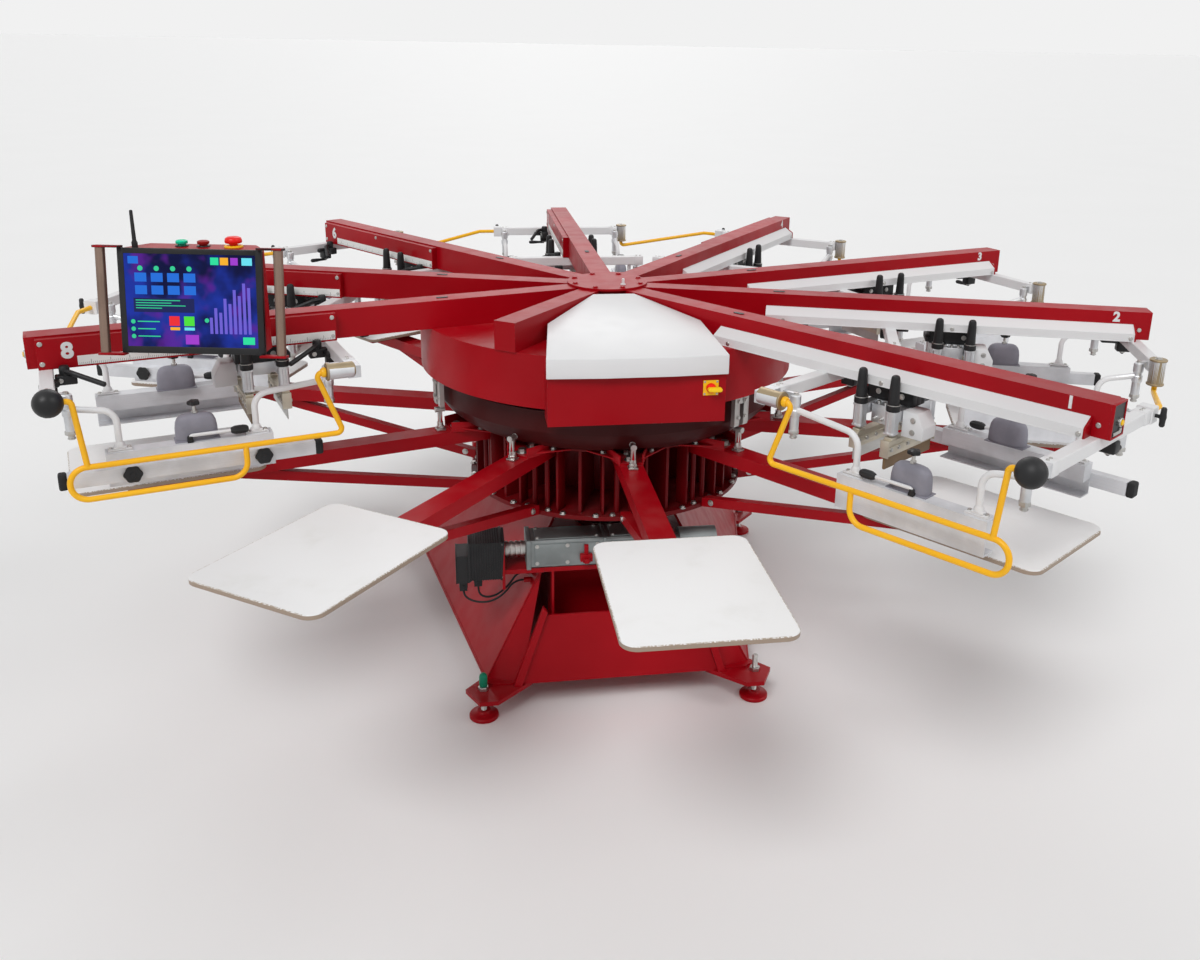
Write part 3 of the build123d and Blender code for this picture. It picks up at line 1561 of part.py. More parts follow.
arm_direction = (tilt_center - Vector(post_x, post_y, tilt_center.Z)).normalized()
arm_length = (tilt_center - Vector(post_x, post_y, tilt_center.Z)).length
arm_plane = Plane(origin=(post_x, post_y, tilt_center.Z), x_dir=(0, 0, 1), z_dir=arm_direction)
with BuildPart() as panel_arm:
    with BuildSketch(Plane.XY.offset(post_top + seat_gap)):
        with Locations((post_x, post_y)):
            Circle(boss_radius)
    extrude(amount=boss_height)
    with BuildSketch(arm_plane):
        Rectangle(arm_bar, arm_bar)
    extrude(amount=arm_length)
    with BuildSketch(Plane(origin=tilt_center, z_dir=panel_right)):
        Circle(2 * tilt_pin_radius)
    extrude(amount=knuckle_width / 2, both=True)
    with BuildSketch(Plane(origin=tilt_center, z_dir=panel_right)):
        Circle(tilt_pin_radius + running_gap)
    extrude(amount=knuckle_width, both=True, mode=Mode.SUBTRACT)
    with BuildSketch(Plane.XY.offset(post_top - arm_bar)):
        with Locations((post_x, post_y)):
            Circle(post_pin_radius + running_gap)
    extrude(amount=boss_height + 2 * arm_bar, mode=Mode.SUBTRACT)

pieces = {
    "base_frame": base_with_glands.part,
    "rear_cabinet": rear_cabinet.part,
    "levelling_feet": levelling_feet.part,
    "center_column": center_column.part,
    "lift_collar": lift_collar.part,
    "indexer_gearbox": indexer_gearbox.part,
    "drive_motor": drive_motor.part,
    "power_cable": power_cable,
    "feedback_cable": feedback_cable,
    "carousel_cage": carousel_cage.part,
    "carousel_bowl": carousel_bowl.part,
    "pallet_arms": pallet_arms.part,
    "pallets": pallets.part,
    "head_drum": head_drum.part,
    "head_beams": head_beams.part,
    "drive_covers": drive_covers.part,
    "rail_covers": rail_covers.part,
    "registration_forks": registration_forks.part,
    "control_box": control_box_and_plate.part,
    "switch_knob": switch_knob.part,
    "hood": hood.part,
    "cross_arms": cross_arms.part,
    "rail_hangers": rail_hangers.part,
    "screen_rails": screen_rails.part,
    "clamp_domes": clamp_domes.part,
    "clamp_handles": clamp_handles.part,
    "guard_switches": guard_switches.part,
    "perimeter_guards": perimeter_guards.part,
    "side_guard_1": side_guard_1.part,
    "side_guard_8": side_guard_8.part,
    "panel_post": panel_post.part,
    "panel_arm": panel_arm.part,
    "panel_housing": panel_housing.part,
}
pieces.update(button_parts)
for label, head_piece in head_pieces.items():
    pieces[label] = head_piece.part
for label, piece in pieces.items():
    piece.label = label
    export_step(piece, f"parts/{label}.step")
print(len(pieces), "pieces")
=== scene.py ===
# Screen printing press with eight print heads and ten pallets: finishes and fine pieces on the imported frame
import bmesh
import bpy
from collections import namedtuple
from functools import partialmethod
from math import atan2, copysign, cos, degrees, pi, radians, sin, tau
from mathutils import Matrix, Vector


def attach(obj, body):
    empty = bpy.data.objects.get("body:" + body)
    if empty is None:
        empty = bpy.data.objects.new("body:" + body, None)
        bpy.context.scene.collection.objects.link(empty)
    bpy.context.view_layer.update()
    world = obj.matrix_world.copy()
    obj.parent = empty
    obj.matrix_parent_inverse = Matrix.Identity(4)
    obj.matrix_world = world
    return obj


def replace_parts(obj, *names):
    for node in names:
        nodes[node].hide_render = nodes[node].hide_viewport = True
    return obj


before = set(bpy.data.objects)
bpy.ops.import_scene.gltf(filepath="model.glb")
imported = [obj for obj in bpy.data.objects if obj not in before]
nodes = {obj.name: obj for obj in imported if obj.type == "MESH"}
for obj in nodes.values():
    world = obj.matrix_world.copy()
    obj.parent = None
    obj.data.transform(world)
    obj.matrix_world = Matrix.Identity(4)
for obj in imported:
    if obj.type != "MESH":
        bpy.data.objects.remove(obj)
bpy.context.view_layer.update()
MM = 0.001
HEADS = range(1, 9)
PITCH = 36.0


# Shader maths: a value adds its own Math nodes when it is used in an expression
class Value:
    def __init__(self, finish, socket):
        self.finish = finish
        self.socket = socket

    def math(self, operation, *others):
        return self.finish.node("ShaderNodeMath", {"operation": operation}, dict(enumerate((self, *others))))

    __add__ = __radd__ = partialmethod(math, "ADD")
    __sub__ = partialmethod(math, "SUBTRACT")
    __mul__ = __rmul__ = __and__ = partialmethod(math, "MULTIPLY")
    __truediv__ = partialmethod(math, "DIVIDE")
    __mod__ = partialmethod(math, "FLOORED_MODULO")
    __lt__ = partialmethod(math, "LESS_THAN")
    __or__ = partialmethod(math, "MAXIMUM")
    __abs__ = partialmethod(math, "ABSOLUTE")

    def __rsub__(self, other):
        return self.math("MULTIPLY_ADD", -1.0, other)

    def soft(self, low, high):
        """0 below low, 1 above high, and smooth between them."""
        smooth = {"interpolation_type": "SMOOTHSTEP"}
        return self.finish.node("ShaderNodeMapRange", smooth, {0: self, 1: low, 2: high})


class Finish:
    """A procedural material. Its pattern is written with values, and goes to the shader's own sockets."""

    def __init__(self, name, **sockets):
        self.material = bpy.data.materials.new(name)
        self.material.use_nodes = True
        self.tree = self.material.node_tree
        self.tree.nodes.clear()
        self.shader = self.tree.nodes.new("ShaderNodeBsdfPrincipled")
        output = self.tree.nodes.new("ShaderNodeOutputMaterial")
        self.tree.links.new(self.shader.outputs[0], output.inputs[0])
        self.feed(**sockets)

    def feed(self, **sockets):
        for name, value in sockets.items():
            self.connect(self.shader.inputs[name.replace("_", " ")], value)
        return self

    def connect(self, socket, value):
        if isinstance(value, Value):
            self.tree.links.new(value.socket, socket)
        elif socket.type == "RGBA" and len(value) == 3:
            socket.default_value = (*value, 1.0)
        else:
            socket.default_value = value

    def node(self, kind, settings=None, sockets=None, out=0):
        made = self.tree.nodes.new(kind)
        for name, value in (settings or {}).items():
            setattr(made, name, value)
        for name, value in (sockets or {}).items():
            self.connect(made.inputs[name], value)
        return Value(self, made.outputs[out])

    def place(self):
        """The point on the piece in metres."""
        return self.node("ShaderNodeTexCoord", out="Object")

    def parts(self, vector):
        split = self.tree.nodes.new("ShaderNodeSeparateXYZ")
        self.tree.links.new(vector.socket, split.inputs[0])
        return [Value(self, output) for output in split.outputs]

    def head_place(self):
        """Radius, distance beside the station's middle line, and height, in metres."""
        x, y, z = self.parts(self.place())
        step = (y.math("ARCTAN2", x) / radians(PITCH) + 0.5).math("ROUND") - 0.5
        angle = step * radians(PITCH)
        along = x * angle.math("COSINE") + y * angle.math("SINE")
        beside = y * angle.math("COSINE") - x * angle.math("SINE")
        return along, beside, z

    def noise(self, scale, detail=2.0, vector=None, rough=0.5):
        sockets = {"Vector": vector or self.place(), "Scale": scale, "Detail": detail, "Roughness": rough}
        return self.node("ShaderNodeTexNoise", {}, sockets)

    def mix(self, share, first, second):
        return self.node("ShaderNodeMix", {"data_type": "RGBA"}, {0: share, 6: first, 7: second}, out=2)

    def upward(self):
        """1 where the face looks up, for settled dust."""
        return self.parts(self.node("ShaderNodeNewGeometry", out="Normal"))[2]

    def skin(self, radius, height, distance, strength):
        """Softens sharp edges by that radius, and adds relief of that depth, both in metres."""
        soft = self.node("ShaderNodeBevel", {"samples": 4}, {"Radius": radius})
        sockets = {"Height": height, "Distance": distance, "Strength": strength, "Normal": soft}
        self.feed(Normal=self.node("ShaderNodeBump", {}, sockets))

    def edge_share(self, radius):
        """1 on an outer edge, fading to 0 at the radius, for worn edges."""
        soft = self.node("ShaderNodeBevel", {"samples": 4}, {"Radius": radius})
        sharp = self.node("ShaderNodeNewGeometry", out="Normal")
        same = self.node("ShaderNodeVectorMath", {"operation": "DOT_PRODUCT"}, {0: soft, 1: sharp}, out=1)
        return (1.0 - same).soft(0.02, 0.2)


def painted(name, color, dark, light, rough=0.34, wear=0.3, dust=0.03, gloss=0.3):
    """Sprayed enamel: slow colour drift, orange peel, chipped edges and a little dust on top."""
    coat, dust_color, under = 0.05, (0.62, 0.58, 0.54), (0.30, 0.27, 0.26)
    f = Finish(name, Coat_Roughness=0.15, Specular_IOR_Level=gloss)
    base = f.mix(f.noise(2.3, 3.0).soft(0.3, 0.72), dark, light)
    base = f.mix(0.45, base, color)
    chips = f.edge_share(0.0022) * f.noise(55.0, 5.0, rough=0.65).soft(0.52, 0.62) * wear
    settled = f.upward().soft(0.6, 1.0) * f.noise(9.0, 5.0).soft(0.42, 0.75) * dust
    base = f.mix(settled, base, dust_color)
    base = f.mix(chips, base, under)
    smear = f.noise(16.0, 4.0).soft(0.35, 0.75)
    f.feed(Base_Color=base, Roughness=rough + smear * 0.10 + settled * 0.4 + chips * 0.2)
    f.feed(Coat_Weight=coat - coat * (settled | chips))
    f.skin(0.0014, f.noise(420.0), 0.00025, 0.22)
    return f


def molded(name, color, rough, grain=900.0):
    """Moulded plastic or rubber with a fine spark-eroded grain."""
    f = Finish(name, Specular_IOR_Level=0.28)
    cloud = f.noise(14.0, 3.0).soft(0.3, 0.7)
    lighter = tuple(min(1.0, c * 1.25 + 0.004) for c in color)
    f.feed(Base_Color=f.mix(cloud, color, lighter), Roughness=rough + 0.12 * cloud)
    f.skin(0.0010, f.noise(grain, 1.0), 0.00012, 0.35)
    return f


def metal(name, color, rough, grain, metallic=1.0):
    """Drawn, ground or anodised metal: fine lines along one way, cloudy tone and darker stained patches."""
    f = Finish(name, Metallic=metallic)
    along, beside, height = f.head_place()
    stretched = {0: along * grain[0], 1: beside * grain[1], 2: height * grain[2]}
    lines = f.noise(1.0, 3.0, f.node("ShaderNodeCombineXYZ", {}, stretched))
    cloud = f.noise(11.0, 4.0).soft(0.35, 0.7)
    stained, ground = (tuple(share * c for c in color) for share in (0.82, 0.72))
    base = f.mix(cloud, color, stained)
    base = f.mix(lines.soft(0.35, 0.8) * 0.25, base, ground)
    f.feed(Base_Color=base, Roughness=rough + 0.14 * lines + 0.08 * cloud)
    f.skin(0.0010, lines, 0.00008, 0.3)
    return f


def cast_metal(name, color):
    """Blasted casting with a coarse skin."""
    f = Finish(name, Metallic=0.85)
    skin = f.noise(260.0, 5.0, rough=0.65)
    cloud = f.noise(13.0, 3.0).soft(0.3, 0.7)
    f.feed(Base_Color=f.mix(cloud, color, tuple(c * 0.75 for c in color)), Roughness=0.45 + 0.2 * skin)
    f.skin(0.0016, skin, 0.0005, 0.4)
    return f


def pallet_face(name):
    """Bare pallet: off-white coated top, tape adhesive smears, and a brown worn edge."""
    f = Finish(name, Specular_IOR_Level=0.35)
    along, beside, height = f.head_place()
    half_width, middle_radius, half_length = 0.2032, 1.4835, 0.265
    side = abs(beside) / half_width
    ends = abs(along - middle_radius) / half_length
    rim = side.soft(0.975, 0.998) | ends.soft(0.98, 0.998)
    under = 1.0 - f.upward().soft(0.2, 0.6)
    stains = f.noise(7.0, 6.0, rough=0.6).soft(0.5, 0.85)
    fine = f.noise(240.0, 3.0)
    base = f.mix(stains * 0.5, (0.86, 0.86, 0.86), (0.74, 0.73, 0.70))
    base = f.mix(rim & fine.soft(0.35, 0.6), base, (0.36, 0.28, 0.20))
    base = f.mix(under, base, (0.34, 0.26, 0.20))
    f.feed(Base_Color=base, Roughness=0.42 + 0.2 * stains)
    f.skin(0.0015, fine, 0.0001, 0.3)
    return f


red_enamel = painted(
    "red_enamel", (0.350, 0.0015, 0.007), (0.280, 0.001, 0.005), (0.420, 0.003, 0.010), gloss=0.12
)
deep_enamel = painted(
    "deep_enamel", (0.050, 0.006, 0.007), (0.034, 0.004, 0.004), (0.070, 0.007, 0.006), rough=0.42, gloss=0.12
)
# The same red enamel made darker: painted shade for the carousel's cage and its plates
shaded_enamel = painted(
    "shaded_enamel", (0.135, 0.002, 0.004), (0.095, 0.001, 0.003), (0.170, 0.003, 0.005), gloss=0.1
)
white_enamel = painted(
    "white_enamel", (0.76, 0.76, 0.77), (0.71, 0.71, 0.72), (0.79, 0.79, 0.79), rough=0.38, wear=0.15
)
yellow_enamel = painted(
    "yellow_enamel", (0.95, 0.50, 0.01), (0.88, 0.42, 0.008), (1.0, 0.56, 0.02), dust=0.05
)
extruded = metal("extruded_aluminium", (0.70, 0.71, 0.73), rough=0.34, grain=(6.0, 900.0, 900.0))
rail_metal = metal("rail_aluminium", (0.74, 0.75, 0.78), rough=0.42, grain=(5.0, 700.0, 700.0), metallic=0.25)
tan_metal = metal("tan_anodised", (0.62, 0.57, 0.47), rough=0.36, grain=(500.0, 8.0, 500.0))
bare_steel = metal("bare_steel", (0.55, 0.54, 0.52), rough=0.28, grain=(60.0, 60.0, 700.0))
bronze = metal("bronze_anodised", (0.27, 0.19, 0.15), rough=0.34, grain=(12.0, 500.0, 500.0))
golden = metal("golden_cylinder", (0.38, 0.30, 0.19), rough=0.36, grain=(12.0, 500.0, 500.0))
gearbox_metal = cast_metal("gearbox_casting", (0.30, 0.33, 0.33))
grey_molding = molded("grey_molding", (0.205, 0.20, 0.235), rough=0.42)
black_molding = molded("black_molding", (0.012, 0.012, 0.013), rough=0.38)
black_rubber = molded("black_rubber", (0.016, 0.016, 0.017), rough=0.7, grain=500.0)
blade_rubber = molded("blade_rubber", (0.16, 0.10, 0.05), rough=0.45)
bezel_plastic = molded("bezel_plastic", (0.010, 0.010, 0.011), rough=0.3)
green_cap = molded("green_cap", (0.0, 0.22, 0.12), rough=0.4)
start_green = molded("start_green", (0.0, 0.62, 0.34), rough=0.32)
stop_red = molded("stop_red", (0.30, 0.012, 0.010), rough=0.32)
mushroom_red = molded("mushroom_red", (0.78, 0.008, 0.004), rough=0.3)
plate_yellow = molded("plate_yellow", (0.92, 0.52, 0.01), rough=0.35)
pallet_board = pallet_face("pallet_board")

scale_white = Finish("scale_white", Roughness=0.5)
along, beside, height = scale_white.head_place()
ticks = (along % 0.005 < 0.0007) & (height < 1.3265)
tens = (along % 0.05 < 0.0010) & (height < 1.334)
scale_white.feed(Base_Color=scale_white.mix(ticks | tens, (0.80, 0.80, 0.78), (0.03, 0.03, 0.03)))


def lit(name, color):
    """A lit patch of the touch screen."""
    f = Finish(name, Base_Color=tuple(0.1 * c for c in color), Roughness=0.2, Specular_IOR_Level=0.08)
    return f.feed(Emission_Color=color, Emission_Strength=0.9)


screen_glow = lit("screen_glow", (0.02, 0.03, 0.30))
blue_cloud = screen_glow.noise(9.0, 3.0).soft(0.35, 0.65)
violet_cloud = screen_glow.noise(15.0).soft(0.52, 0.7)
deep_blue = screen_glow.mix(blue_cloud, (0.002, 0.003, 0.020), (0.012, 0.035, 0.36))
screen_glow.feed(Emission_Color=screen_glow.mix(violet_cloud * 0.7, deep_blue, (0.13, 0.012, 0.30)))
TILE_COLORS = {
    "blue": (0.02, 0.16, 0.70),
    "green": (0.03, 0.75, 0.35),
    "orange": (0.95, 0.45, 0.03),
    "violet": (0.36, 0.05, 0.62),
    "red": (0.85, 0.03, 0.04),
    "lime": (0.08, 0.75, 0.05),
    "cyan": (0.15, 0.75, 0.90),
    "dark": (0.015, 0.02, 0.10),
    "mint": (0.04, 0.62, 0.30),
    "bars": (0.16, 0.12, 0.66),
}
TILES = {name: lit(f"tile_{name}", color) for name, color in TILE_COLORS.items()}


# Places on the operator panel: x to the operator's right, y up the screen, z out of it
PANEL = Matrix(((0.985615, 0.023521, -0.167361, -1232.0), (-0.169005, 0.137171, -0.976023, -714.5),
                (0.0, 0.990268, 0.139173, 1526.0), (0, 0, 0, 1)))
BUTTONS = Matrix(((0.985615, 0.169005, 0, -1226.746), (-0.169005, 0.985615, 0, -683.858),
                  (0, 0, 1, 1660.987), (0, 0, 0, 1)))

Place = namedtuple("Place", "station radius beside height x y")

# Borders between two finishes on one node, in millimetres
FOOT_PAD_TOP = 29
BEAM_END = 1803.5
SWITCH_PLATE_BACK = -688.1
HOLDER_FOOT = 1132
COUPLING_PLATE = (-402.1, -391.9)
ROLLERS = (606, 638)
TUBES = (1070, 1690)


def place_of(point):
    """A point's place in millimetres, in the machine's and in its own station's directions."""
    x, y, height = (value / MM for value in point)
    station = round((degrees(atan2(y, x)) + 90) / PITCH)
    angle = radians(station * PITCH - 90)
    radius = x * cos(angle) + y * sin(angle)
    beside = y * cos(angle) - x * sin(angle)
    return Place(station % 10, radius, beside, height, x, y)


def finish_node(name, finish, *regions):
    """Gives a CAD node its finish, and another one to the faces that a rule picks by their place."""
    mesh = nodes[name].data
    mesh.materials.clear()
    mesh.materials.append(finish.material)
    for rule, other in regions:
        mesh.materials.append(other.material)
        index = len(mesh.materials) - 1
        for face in mesh.polygons:
            if rule(place_of(face.center)):
                face.material_index = index


def black_ball(p):
    """On the balls at the outer ends of the two side guards' switches."""
    return p.station in (1, 8) and p.radius > 1725 and abs(p.beside) > 318 and p.height > 1262


def finish_panel():
    """The operator panel: red housing and brackets, black bezel, rings and whip, bronze grips."""
    mesh = nodes["panel_housing"].data
    mesh.materials.clear()
    for finish in (red_enamel, bezel_plastic, bronze):
        mesh.materials.append(finish.material)
    to_panel = PANEL.inverted()
    to_buttons = BUTTONS.inverted()
    bezel_back, bezel_half_width, bezel_half_height, grip_near = -11.9, 195, 142.1, 224
    for face in mesh.polygons:
        point = face.center / MM
        across, up, out = to_panel @ point
        above = (to_buttons @ point)[2]
        in_bezel = out > bezel_back and abs(across) < bezel_half_width and abs(up) < bezel_half_height
        if above > 0.5 or in_bezel:
            face.material_index = 1
        elif abs(across) > grip_near and abs(up) < 141.9:
            face.material_index = 2


for finish, names in (
    (red_enamel, "base_frame rear_cabinet head_drum rail_covers panel_post panel_arm"),
    (deep_enamel, "lift_collar carousel_bowl"),
    # The cage gets the red enamel darkened as painted shade
    (shaded_enamel, "carousel_cage"),
    (white_enamel, "drive_covers hood cross_arms"),
    (yellow_enamel, "perimeter_guards side_guard_1 side_guard_8"),
    (bare_steel, "center_column registration_forks"),
    (rail_metal, "screen_rails"),
    (gearbox_metal, "indexer_gearbox"),
    (pallet_board, "pallets"),
    (grey_molding, "clamp_domes"),
    (black_molding, "clamp_handles"),
    (black_rubber, "power_cable feedback_cable"),
    (plate_yellow, "switch_knob"),
    (start_green, "start_button"),
    (stop_red, "stop_button"),
    (mushroom_red, "emergency_stop"),
):
    for name in names.split():
        finish_node(name, finish)
finish_panel()
finish_node("levelling_feet", red_enamel, (lambda p: p.height > FOOT_PAD_TOP, bare_steel))
finish_node(
    "drive_motor", black_molding, (lambda p: p.x > COUPLING_PLATE[0], red_enamel),
    (lambda p: p.x > COUPLING_PLATE[1], bare_steel),
)
finish_node(
    "pallet_arms", red_enamel, (lambda p: ROLLERS[0] < p.radius < ROLLERS[1] and p.height > 990, bare_steel)
)
finish_node("head_beams", red_enamel, (lambda p: p.radius > BEAM_END, black_molding))
finish_node("control_box", red_enamel, (lambda p: p.y < SWITCH_PLATE_BACK, plate_yellow))
finish_node("rail_hangers", white_enamel, (lambda p: not TUBES[0] <= p.radius <= TUBES[1], extruded))
finish_node(
    "guard_switches", golden, (lambda p: abs(p.beside) < 336 and 1277 < p.height < 1317, extruded),
    (black_ball, black_molding),
)
for k in HEADS:
    finish_node(f"carriage_{k}", extruded)
    finish_node(f"squeegee_{k}", tan_metal, (lambda p: p.height < HOLDER_FOOT, blade_rubber))
    finish_node(f"flood_bar_{k}", tan_metal, (lambda p: p.height < HOLDER_FOOT, bare_steel))


# Forms, drawn in millimetres: x along the station's radius, y beside it, z up
ALONG_X = Matrix(((0, 0, 1, 0), (1, 0, 0, 0), (0, 1, 0, 0), (0, 0, 0, 1)))
ALONG_Y = Matrix(((1, 0, 0, 0), (0, 0, 1, 0), (0, 1, 0, 0), (0, 0, 0, 1)))


def at(x, y, z, turn=None):
    """A place, and the way that a form's own z axis is turned there."""
    return Matrix.Translation((x, y, z)) @ (turn or Matrix.Identity(4))


def placed(form, *moves):
    for move in moves:
        bmesh.ops.transform(form, matrix=move, verts=form.verts)
        if move.determinant() < 0:
            bmesh.ops.reverse_faces(form, faces=form.faces)
    return form


def eased(form, bevel, segments=2, angle=25):
    """Rounds every edge that turns by more than the angle."""
    form.normal_update()
    edges = [edge for edge in form.edges if edge.calc_face_angle(0) > radians(angle)]
    if bevel and edges:
        settings = {"offset": bevel, "segments": segments, "profile": 0.5, "clamp_overlap": True}
        bmesh.ops.bevel(form, geom=edges, affect="EDGES", **settings)
    return form


def block(low, high, bevel, segments=2):
    form = bmesh.new()
    bmesh.ops.create_cube(form, size=1.0)
    for vert in form.verts:
        vert.co = Vector([a + (b - a) * (c + 0.5) for a, b, c in zip(low, high, vert.co)])
    return eased(form, bevel, segments)


def angles(steps):
    return [tau * step / steps for step in range(steps)]


def skinned(form, rings):
    """Faces between neighbouring rings of corners. On the turning axis a ring is one corner repeated."""
    for lower, upper in zip(rings, rings[1:]):
        for step in range(len(lower)):
            after = (step + 1) % len(lower)
            corners = list(dict.fromkeys((lower[step], lower[after], upper[after], upper[step])))
            if len(corners) > 2:
                form.faces.new(corners)


def closed_over(form, rings):
    """The faces between the rings and over both ends."""
    skinned(form, rings)
    form.faces.new(rings[0])
    form.faces.new(rings[-1])
    bmesh.ops.recalc_face_normals(form, faces=form.faces)
    return form


def turning(profile, steps=28, flutes=0, depth=0.0):
    """A turned form from (radius, height) pairs, with flutes cut into it if they are asked for.

    An end beside the axis gets a flat face, unless the profile closes on itself as a ring's does.
    """
    form = bmesh.new()
    profile = list(profile)
    whole_ring = profile[0] == profile[-1]
    if profile[0][0] and not whole_ring:
        profile.insert(0, (0, profile[0][1]))
    if profile[-1][0] and not whole_ring:
        profile.append((0, profile[-1][1]))
    rings = []
    for radius, height in profile:
        if not radius:
            rings.append([form.verts.new((0, 0, height))] * steps)
            continue
        ring = []
        for angle in angles(steps):
            reach = radius * (1 + depth * cos(flutes * angle))
            ring.append(form.verts.new((reach * cos(angle), reach * sin(angle), height)))
        rings.append(ring)
    skinned(form, rings)
    if whole_ring:
        bmesh.ops.remove_doubles(form, verts=form.verts, dist=1e-6)
    bmesh.ops.recalc_face_normals(form, faces=form.faces)
    return form


def turned(profile, x, y, z, steps=28, turn=None, flutes=0, depth=0.0, stand=Matrix()):
    """A turned form at its place, in the directions of its stand."""
    return placed(turning(profile, steps, flutes, depth), stand @ at(x, y, z, turn))


def prism(outline, low, high, bevel=0.0, segments=2):
    """A straight form over a flat outline, from height low to high."""
    form = bmesh.new()
    lower = [form.verts.new((x, y, low)) for x, y in outline]
    upper = [form.verts.new((x, y, high)) for x, y in outline]
    form.faces.new(lower)
    form.faces.new(upper)
    skinned(form, [lower, upper])
    bmesh.ops.recalc_face_normals(form, faces=form.faces)
    return eased(form, bevel, segments)


def bent(points, radius):
    """The points of a path whose corners are rounded."""
    steps = 6
    points = [Vector(point) for point in points]
    path = [points[0]]
    for before, corner, after in zip(points, points[1:], points[2:]):
        back = (before - corner).normalized()
        ahead = (after - corner).normalized()
        turn = pi - back.angle(ahead)
        if turn < 0.01:
            path.append(corner)
            continue
        shortest = min((before - corner).length, (after - corner).length)
        reach = min(radius * abs(sin(turn / 2) / cos(turn / 2)), 0.48 * shortest)
        start, end = corner + back * reach, corner + ahead * reach
        for step in range(steps + 1):
            share = step / steps
            path.append(start.lerp(corner, share).lerp(corner.lerp(end, share), share))
    path.append(points[-1])
    return path


def rod(path, radius, steps=14, ends=0.0):
    """A round rod along a path, its ends rounded by that length."""
    path = [Vector(point) for point in path]
    if ends:
        near = path[0].lerp(path[1], ends / (path[1] - path[0]).length)
        far = path[-1].lerp(path[-2], ends / (path[-2] - path[-1]).length)
        path = [path[0], near, *path[1:-1], far, path[-1]]
    form = bmesh.new()
    last = len(path) - 1
    side = (path[1] - path[0]).normalized().orthogonal().normalized()
    rings = []
    for index, point in enumerate(path):
        ahead = (path[min(index + 1, last)] - path[max(index - 1, 0)]).normalized()
        side = (side - ahead * side.dot(ahead)).normalized()
        other = ahead.cross(side)
        size = radius * (0.7 if ends and index in (0, last) else 1.0)
        ring = [point + (side * cos(angle) + other * sin(angle)) * size for angle in angles(steps)]
        rings.append([form.verts.new(corner) for corner in ring])
    return closed_over(form, rings)


def new_tree(name, inputs, kinds):
    """A tree with its inputs and nodes. Its end makes the copies real and gives them their finish."""
    tree = bpy.data.node_groups.new(name, "GeometryNodeTree")
    for title, kind in {**inputs, "Finish": "Material"}.items():
        tree.interface.new_socket(name=title, in_out="INPUT", socket_type=f"NodeSocket{kind}")
    tree.interface.new_socket(name="Form", in_out="OUTPUT", socket_type="NodeSocketGeometry")
    made = {}
    for title, kind in {
        "inputs": "NodeGroupInput",
        **kinds,
        "copies": "GeometryNodeInstanceOnPoints",
        "real": "GeometryNodeRealizeInstances",
        "finish": "GeometryNodeSetMaterial",
        "outputs": "NodeGroupOutput",
    }.items():
        made[title] = tree.nodes.new(kind)
    return tree, made


def join(tree, made, *links):
    """Links the nodes in the rows, and those at the tree's end."""
    for start, output, end, socket in (
        *links,
        ("copies", 0, "real", 0),
        ("real", 0, "finish", "Geometry"),
        ("inputs", "Finish", "finish", "Material"),
        ("finish", 0, "outputs", 0),
    ):
        tree.links.new(made[start].outputs[output], made[end].inputs[socket])


def around_tree():
    """Copies a station's form around the carousel's axis."""
    inputs = {"Form": "Geometry", "Count": "Int", "First Angle": "Float", "Step Angle": "Float"}
    kinds = {
        "points": "GeometryNodePoints", "index": "GeometryNodeInputIndex", "turn": "ShaderNodeMath",
        "rotation": "ShaderNodeCombineXYZ",
    }
    tree, made = new_tree("around_the_axis", inputs, kinds)
    made["turn"].operation = "MULTIPLY_ADD"
    join(
        tree, made,
        ("inputs", "Count", "points", "Count"),
        ("index", 0, "turn", 0),
        ("inputs", "Step Angle", "turn", 1),
        ("inputs", "First Angle", "turn", 2),
        ("turn", 0, "rotation", 2),
        ("points", 0, "copies", "Points"),
        ("inputs", "Form", "copies", "Instance"),
        ("rotation", 0, "copies", "Rotation"),
    )
    return tree


def bolts_tree():
    """A bolt head and its washer on every point, standing along the point's facing."""
    inputs = {"Places": "Geometry", "Sides": "Int"}
    for part in ("Head", "Washer"):
        inputs |= {f"{part} Radius": "Float", f"{part} Height": "Float"}
    kinds = {
        "facing": "GeometryNodeInputNamedAttribute", "align": "FunctionNodeAlignRotationToVector",
        "points": "GeometryNodeMeshToPoints", "head": "GeometryNodeMeshCylinder",
        "washer": "GeometryNodeMeshCylinder", "head_half": "ShaderNodeMath",
        "head_place": "ShaderNodeCombineXYZ", "head_up": "GeometryNodeTransform",
        "both": "GeometryNodeJoinGeometry",
    }
    tree, made = new_tree("bolts_on_points", inputs, kinds)
    made["facing"].data_type = "FLOAT_VECTOR"
    made["facing"].inputs[0].default_value = "facing"
    made["align"].axis = "Z"
    made["head_half"].operation = "MULTIPLY"
    made["head_half"].inputs[1].default_value = 0.5
    made["washer"].inputs["Vertices"].default_value = 20
    facing = next(index for index, output in enumerate(made["facing"].outputs) if output.enabled)
    join(
        tree, made,
        ("facing", facing, "align", "Vector"),
        ("inputs", "Places", "points", "Mesh"),
        ("inputs", "Sides", "head", "Vertices"),
        *[("inputs", f"{part} Radius", part.lower(), "Radius") for part in ("Head", "Washer")],
        *[("inputs", f"{part} Height", part.lower(), "Depth") for part in ("Head", "Washer")],
        ("inputs", "Head Height", "head_half", 0),
        ("head_half", 0, "head_place", 2),
        ("head", 0, "head_up", 0),
        ("head_place", 0, "head_up", "Translation"),
        ("head_up", 0, "both", 0),
        ("washer", 0, "both", 0),
        ("points", 0, "copies", "Points"),
        ("both", 0, "copies", "Instance"),
        ("align", 0, "copies", "Rotation"),
    )
    return tree


AROUND = around_tree()
BOLTS = bolts_tree()


def new_object(name, data):
    """A new object in the scene."""
    made = bpy.data.objects.new(name, data)
    bpy.context.scene.collection.objects.link(made)
    return made


